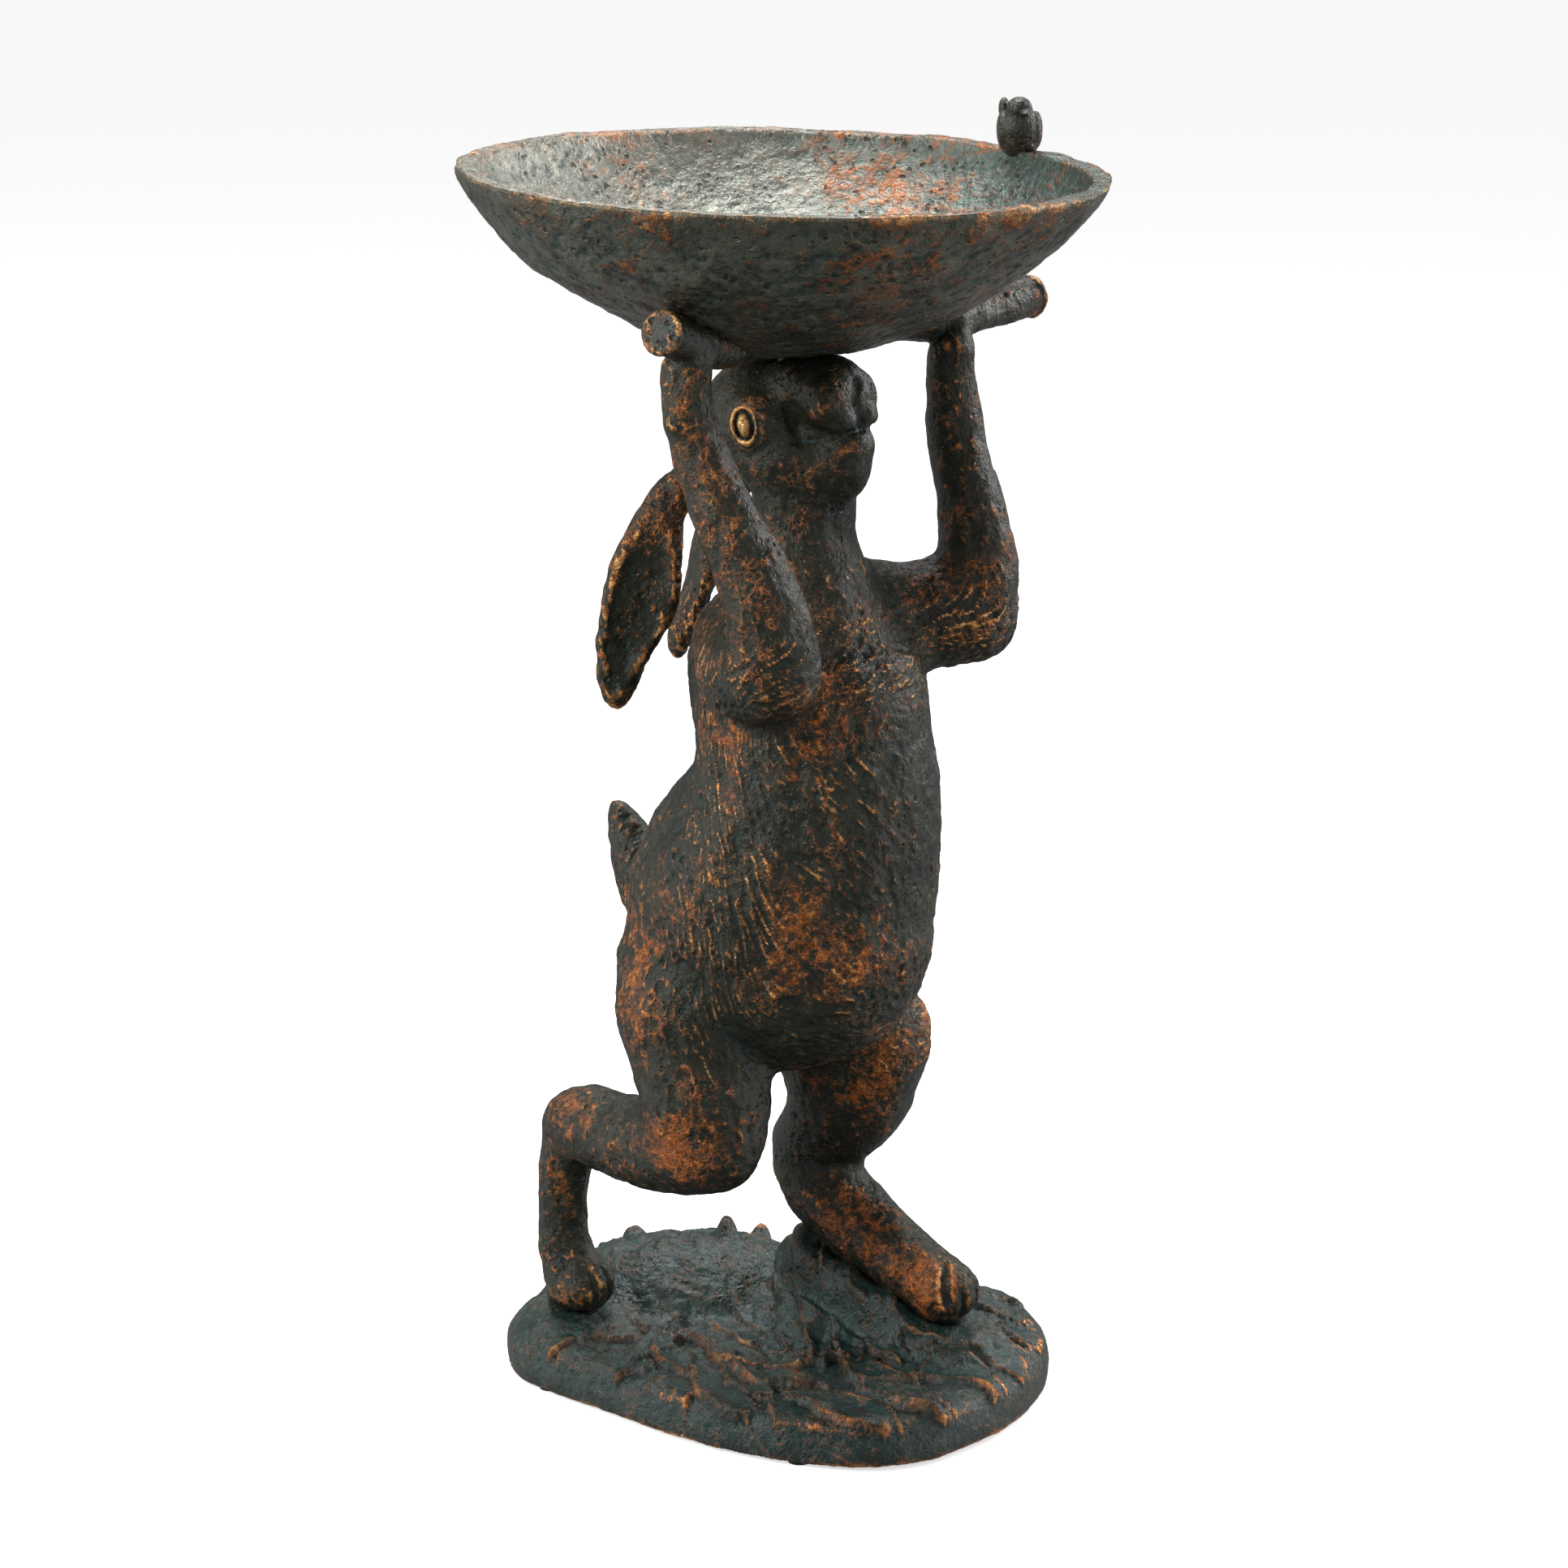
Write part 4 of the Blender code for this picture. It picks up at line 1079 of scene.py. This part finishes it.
class Bronze(Graph):
    """Aged bronze paint: dark patina, teal in the hollows, rubbed copper and gold on what stands proud, and
    painted shade in the cavities and below the grass blades.

    kind is figure, bowl, mound or plain. teal, rust and copper say how much each layer covers, web how strong
    the fine rubbed lines are, proud how much the relief counts for the rubbing, gloss the usual roughness.
    """

    def __init__(self, name, kind, teal, rust, copper, gloss, proud=1.5, web=0.7):
        super().__init__(bpy.data.materials.new(name))
        self.figure, self.bowl, self.mound = (kind == word for word in ("figure", "bowl", "mound"))
        self.raised, self.broad, self.front, self.inside, self.lip, self.crest, self.foot, self.gold = map(
            self.attribute, ("raised", "broad", "front", "inside", "lip", "crest", "foot", "gold")
        )
        self.wide = self.noise(14, 2)
        self.patch = self.noise(52, 5, 0.68)
        self.other = self.noise(60, 3, 0.6, place=self.mapped(location=(3.1, 1.7, 0.4)))
        self.small = self.noise(230, 5, 0.65)
        self.speck = self.noise(1300, 2, 0.6)
        self.proudest = self.math("MINIMUM", self.raised, 0.30)
        nicks, lines = self.nicks(), self.lines(copper)
        greened, rubbed = self.greened(teal), self.rubbed(lines, copper, proud, web)
        colour = self.rusted(self.ground(), rust)
        colour = self.mix(self.times(greened, 0.60 + 0.25 * teal), colour, self.green())
        # the cavities and the feet of the grass blades are darkened here as painted shade and painted shadow
        colour = self.mix(rubbed, self.painted_shade_and_nicks(colour, nicks), self.bright())
        eye = self.times(self.gold, self.ramp(self.noise(420, 3), 0.42, 0.58, 0.05, 0.9))
        metal = self.larger(self.ramp(rubbed, 0.0, 1.0, 0.12, 0.70), eye)
        if self.bowl:
            metal = self.larger(metal, self.ramp(self.inside, 0.0, 1.0, 0.50, 0.60))
        rough = self.total((self.small, 0.34), (rubbed, -0.05), (greened, 0.10), (self.patch, 0.14))
        self.shade({
            "Base Color": self.mix(eye, colour, GOLD),
            "Metallic": metal,
            "Roughness": self.math("ADD", rough, gloss - 0.22),
            "Specular IOR Level": 0.30 if self.figure else 0.5,
            "Normal": self.grain(lines, nicks),
        })

    def ground(self):
        """Dark patina; on the bowl olive outside, and inside bare casting in pale pewter, partly a painted
        sheen, darker and greener towards +X.
        """
        dark = self.total(patch=0.6, small=0.4)
        dark = self.mix(self.ramp(dark, 0.38, 0.62), PATINA_AND_SHADE_DARK, BROWN)
        if not self.bowl:
            return dark
        # pale pewter inside: partly a painted sheen, standing in for the reflection of the lights on the
        # inside
        casting_and_sheen = self.total(small=0.6, patch=0.4)
        casting_and_sheen = self.mix(self.ramp(casting_and_sheen, 0.30, 0.55), SAGE, PEWTER_SHEEN)
        olive = self.total(patch=0.7, small=0.4)
        olive = self.mix(self.ramp(olive, 0.50, 0.70), OLIVE, BROWN)
        # the inside darker and greener towards +X
        rightward_share = self.total((self.along("X"), 1.0), patch=0.20, small=0.08)
        rightward_tone = self.mix(self.ramp(self.small, 0.42, 0.60), VERDIGRIS, BROWN)
        casting_and_sheen = self.mix(self.ramp(rightward_share, 0.10, 0.26, 0.0, 0.85), casting_and_sheen, rightward_tone)
        under_rim = self.total((self.along("Z"), 1.0), patch=0.03)
        olive = self.mix(self.ramp(under_rim, 0.578, 0.600, 0.0, 0.5), olive, BROWN)
        return self.mix(self.inside, olive, casting_and_sheen)

    def rusted(self, colour, rust):
        """Stippled rust in patches; on the figure there is less of it above the chest, and more on the parts
        facing the camera as a painted highlight.
        """
        grains = self.total((self.noise(620, 3, 0.7), 0.8), speck=0.4)
        rust_and_highlight = self.total(wide=1.0, patch=0.85, small=0.85, broad=0.03, speck=0.25, front=0.14)
        if self.figure:
            rust_and_highlight = self.math("SUBTRACT", rust_and_highlight, self.ramp(self.along("Z"), 0.32, 0.41, 0.0, 0.24))
        rust_and_highlight = self.ramp(rust_and_highlight, 1.75 - 0.45 * rust, 1.99 - 0.45 * rust)
        rusty = self.times(rust_and_highlight, self.math("MULTIPLY_ADD", self.ramp(grains, 0.52, 0.70), 0.80, 0.20))
        return self.mix(self.times(rusty, 0.85), colour, RUST)

    def greened(self, teal):
        """Where verdigris lies: in the hollows."""
        hollow = self.total(raised=-1.0, broad=-0.16, other=1.3, small=0.7)
        made = self.ramp(hollow, 1.40 - 0.75 * teal, 1.80 - 0.75 * teal)
        if self.bowl:
            made = self.times(made, self.ramp(self.inside, 0.0, 1.0, 0.9, 0.38))
        return made

    def green(self):
        share = self.total(small=0.8, speck=0.3)
        return self.mix(self.ramp(share, 0.52, 0.8), TEAL, VERDIGRIS)

    def nicks(self):
        """Small dents a few millimetres apart."""
        dents = self.ramp(self.cells(210, place=self.bent(160, 0.004)), 0.16, 0.34, 1.0, 0.0)
        where = self.total(other=0.6, small=0.5)
        return self.times(dents, self.ramp(where, 0.52, 0.62))

    def painted_shade_and_nicks(self, colour, nicks):
        """Painted shade in the cavities, a painted shadow below the grass blades' edges, and the bowl's nicks
        darker outside and teal inside.
        """
        # painted shade: darker where the surface lies below the relaxed surface around it
        painted_cavity_shade = self.ramp(self.raised, -0.45, -0.06, 0.75, 0.0)
        painted_cavity_shade = self.times(painted_cavity_shade, self.ramp(self.inside, 0.0, 1.0, 1.0, 0.6))
        colour = self.mix(painted_cavity_shade, colour, PATINA_AND_SHADE_DARK)
        if self.mound:
            # painted shadow at the foot of each grass blade's steep edge
            below = self.times(self.foot, self.ramp(self.small, 0.30, 0.50, 0.35, 0.9))
            colour = self.mix(below, colour, PATINA_AND_SHADE_DARK)
        if self.bowl:
            colour = self.mix(self.times(nicks, 0.8), colour, self.mix(self.inside, PATINA_AND_SHADE_DARK, TEAL))
        return colour

    def lines(self, copper):
        """A broken web of fine rubbed lines."""
        bent = self.bent(120, 0.007)
        veins = self.ramp(self.cells(150, "DISTANCE_TO_EDGE", bent), 0.0, 0.055, 1.0, 0.0)
        fine = self.ramp(self.cells(370, "DISTANCE_TO_EDGE", bent), 0.0, 0.10, 1.0, 0.0)
        where = self.total(other=1.0, broad=0.10, speck=0.15)
        shift = 0.0
        if self.figure:
            # more fine copper lines on the parts facing the camera: a painted highlight
            where = self.total((where, 0.8), wide=0.9, front=0.06)
            shift = 0.385
        where = self.ramp(where, 0.70 + shift - 0.2 * copper, 0.86 + shift - 0.2 * copper)
        made = self.times(self.larger(veins, self.times(fine, 0.6)), where)
        return self.times(made, self.ramp(self.small, 0.38, 0.58))

    def rubbed(self, lines, copper, proud, web):
        """Where the paint is rubbed down to copper: raised spots, fine lines and edges."""
        # real wear, plus more rubbed copper on the parts facing the camera as a painted highlight
        wear_and_highlight = self.total(wide=0.9, patch=0.9, broad=0.04, front=0.26)
        if self.mound:
            wear_and_highlight = self.math("SUBTRACT", wear_and_highlight, self.ramp(self.along("Z"), 0.018, 0.028, 0.0, 0.25))
        wear_and_highlight = self.ramp(wear_and_highlight, 1.08 - 0.35 * copper, 1.36 - 0.35 * copper)
        high = self.total(proudest=proud, small=1.3, speck=0.6)
        high = self.times(self.ramp(high, 1.12, 1.46), self.ramp(self.broad, -0.35, 0.05))
        made = self.larger(self.times(wear_and_highlight, high), self.times(lines, web))
        if self.bowl:
            made = self.times(made, self.ramp(self.inside, 0.0, 1.0, 0.7, 0.30))
            edge = self.times(self.lip, self.ramp(self.small, 0.46, 0.62, 0.0, 0.8))
            made = self.larger(made, edge)
        if self.mound:
            edge = self.total(patch=0.8, small=0.5, other=0.4)
            edge = self.times(self.crest, self.ramp(edge, 0.76, 0.96, 0.0, 0.7))
            made = self.larger(made, edge)
        return made

    def bright(self):
        """Colour of the rubbed metal: copper, and gold where it is rubbed most."""
        share = self.total(speck=0.5, patch=0.6, proudest=0.45 if self.mound else 0.8)
        if self.bowl:
            share = self.math("ADD", share, self.times(self.lip, 0.25))
        return self.mix(self.ramp(share, 0.62, 0.95), COPPER, GOLD)

    def grain(self, lines, nicks):
        """Bump of the painted surface."""
        pits = self.ramp(self.cells(250), 0.05, 0.30)
        height = self.total(
            (lines, 0.20), (self.small, 1.10), (self.patch, 1.4), (self.speck, 0.12), (pits, 0.22),
            (nicks, -0.8),
        )
        return self.bump(height, 0.0012)


def make_zinc(name):
    """Zinc plated steel: a grey spangle, fine drawn lines and a few rust freckles."""
    g = Graph(bpy.data.materials.new(name))
    lines = g.noise(2500, 2, 0.5, place=g.mapped(scale=(1, 1, 0.03)))
    grime = g.noise(260, 4, 0.6)
    colour = g.mix(g.ramp(g.cells(700), 0.1, 0.7), (0.42, 0.43, 0.45, 1), (0.62, 0.62, 0.62, 1))
    freckles = g.ramp(g.total((grime, 1.0), (lines, 0.15)), 0.70, 0.80)
    g.shade({
        "Base Color": g.mix(freckles, colour, (0.16, 0.07, 0.03, 1)),
        "Metallic": g.ramp(freckles, 0, 1, 0.95, 0.1),
        "Roughness": g.math("ADD", g.total((grime, 0.25), (freckles, 0.3)), 0.22),
        "Normal": g.bump(g.total((lines, 0.5), (grime, 0.5)), 0.0003, 0.4),
    })


def make_felt(name):
    """Black felt: matted fibres with a little lint."""
    g = Graph(bpy.data.materials.new(name))
    fibres = g.noise(1800, 4, 0.7, 1.5)
    lint = g.noise(420, 3, 0.6)
    colour = g.mix(g.ramp(fibres, 0.35, 0.7), (0.010, 0.010, 0.011, 1), (0.035, 0.035, 0.037, 1))
    g.shade({
        "Base Color": g.mix(g.ramp(lint, 0.66, 0.78), colour, (0.10, 0.10, 0.10, 1)),
        "Roughness": g.ramp(lint, 0.3, 0.7, 0.85, 1.0),
        "Normal": g.bump(fibres, 0.0005, 0.8),
    })


def make_materials():
    Bronze("rabbit_bronze", "figure", teal=0.45, rust=0.34, copper=0.66, gloss=0.26, proud=1.7, web=0.88)
    Bronze("branch_bronze", "plain", teal=0.50, rust=0.05, copper=0.40, gloss=0.28)
    Bronze("basin_bronze", "bowl", teal=0.80, rust=0.52, copper=0.50, gloss=0.22, proud=0.9, web=0.6)
    Bronze("base_bronze", "mound", teal=1.10, rust=0.10, copper=0.90, gloss=0.18, proud=1.8, web=0.3)
    Bronze("bird_bronze", "plain", teal=0.45, rust=0.05, copper=0.50, gloss=0.24)
    make_zinc("zinc_steel")
    make_felt("black_felt")
    for name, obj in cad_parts.items():
        felt = name.startswith("pad_")
        if felt or name.endswith(("_dowel", "_rod", "_nut", "_washer")):
            obj.data.materials.clear()
            obj.data.materials.append(bpy.data.materials["black_felt" if felt else "zinc_steel"])


# ---- stage

FLOOR_SIZE = 60
FLOOR_COLOUR = (0.86, 0.86, 0.86, 1)
FLOOR_GLOW = 0.62
# the room's brightness goes from the third number to the fourth as a direction goes from the first to
# the second, aside or upward
ASIDE = (0.66, 0.96, 0.25, 1.35)
UPWARD = (-0.7, 0.0, 1.1, 1.0)
# name, place, size in metres, power in watts
LIGHTS = (
    ("key", (-1.55, -0.8, 1.3), 0.7, 23),
    ("rim", (1.6, 1.0, 1.1), 0.7, 20),
    ("top", (-0.10, 0.9, 2.1), 1.3, 50),
    ("fill", (0.9, -1.7, 1.2), 0.8, 3),
)
LIT_PLACE = (0, 0, 0.33)
CAMERA_PLACE = (0, -2.2, 0.891)
CAMERA_PITCH = math.radians(90 - 14.955)
CAMERA_LENS = 112.2
CAMERA_SENSOR = 36


def make_floor():
    bpy.ops.mesh.primitive_plane_add(size=FLOOR_SIZE)
    floor = bpy.context.object
    floor.name = "floor"
    material = bpy.data.materials.new("floor")
    glow = {"Emission Color": WHITE, "Emission Strength": FLOOR_GLOW}
    Graph(material).shade({"Base Color": FLOOR_COLOUR, "Roughness": 0.9, **glow})
    floor.data.materials.append(material)
    floor.visible_diffuse = False
    floor.visible_glossy = False


def make_room():
    """A dim room with a bright wall on each side, as in a studio with its softboxes at the sides."""
    world = bpy.data.worlds.new("studio")
    g = Graph(world, "Generated")
    sides = g.ramp(g.math("ABSOLUTE", g.along("X")), *ASIDE)
    strength = g.times(g.ramp(g.along("Z"), *UPWARD), sides)
    g.fill(g.tree.nodes["Background"], {"Color": WHITE, "Strength": strength})
    bpy.context.scene.world = world


def make_lights():
    for name, place, size, power in LIGHTS:
        data = bpy.data.lights.new(name, "AREA")
        data.energy = power
        data.size = size
        light = bpy.data.objects.new(name, data)
        bpy.context.scene.collection.objects.link(light)
        light.location = place
        aim = Vector(LIT_PLACE) - Vector(place)
        light.rotation_euler = aim.to_track_quat("-Z", "Y").to_euler()


def make_camera():
    data = bpy.data.cameras.new("camera")
    data.sensor_width = CAMERA_SENSOR
    data.lens = CAMERA_LENS
    camera = bpy.data.objects.new("camera", data)
    camera.location = CAMERA_PLACE
    camera.rotation_euler = (CAMERA_PITCH, 0, 0)
    bpy.context.scene.collection.objects.link(camera)
    bpy.context.scene.camera = camera


make_materials()
make_figure()
make_basin()
make_base()
make_bird()
make_floor()
make_room()
make_lights()
make_camera()
bpy.context.scene.view_settings.view_transform = "Standard"
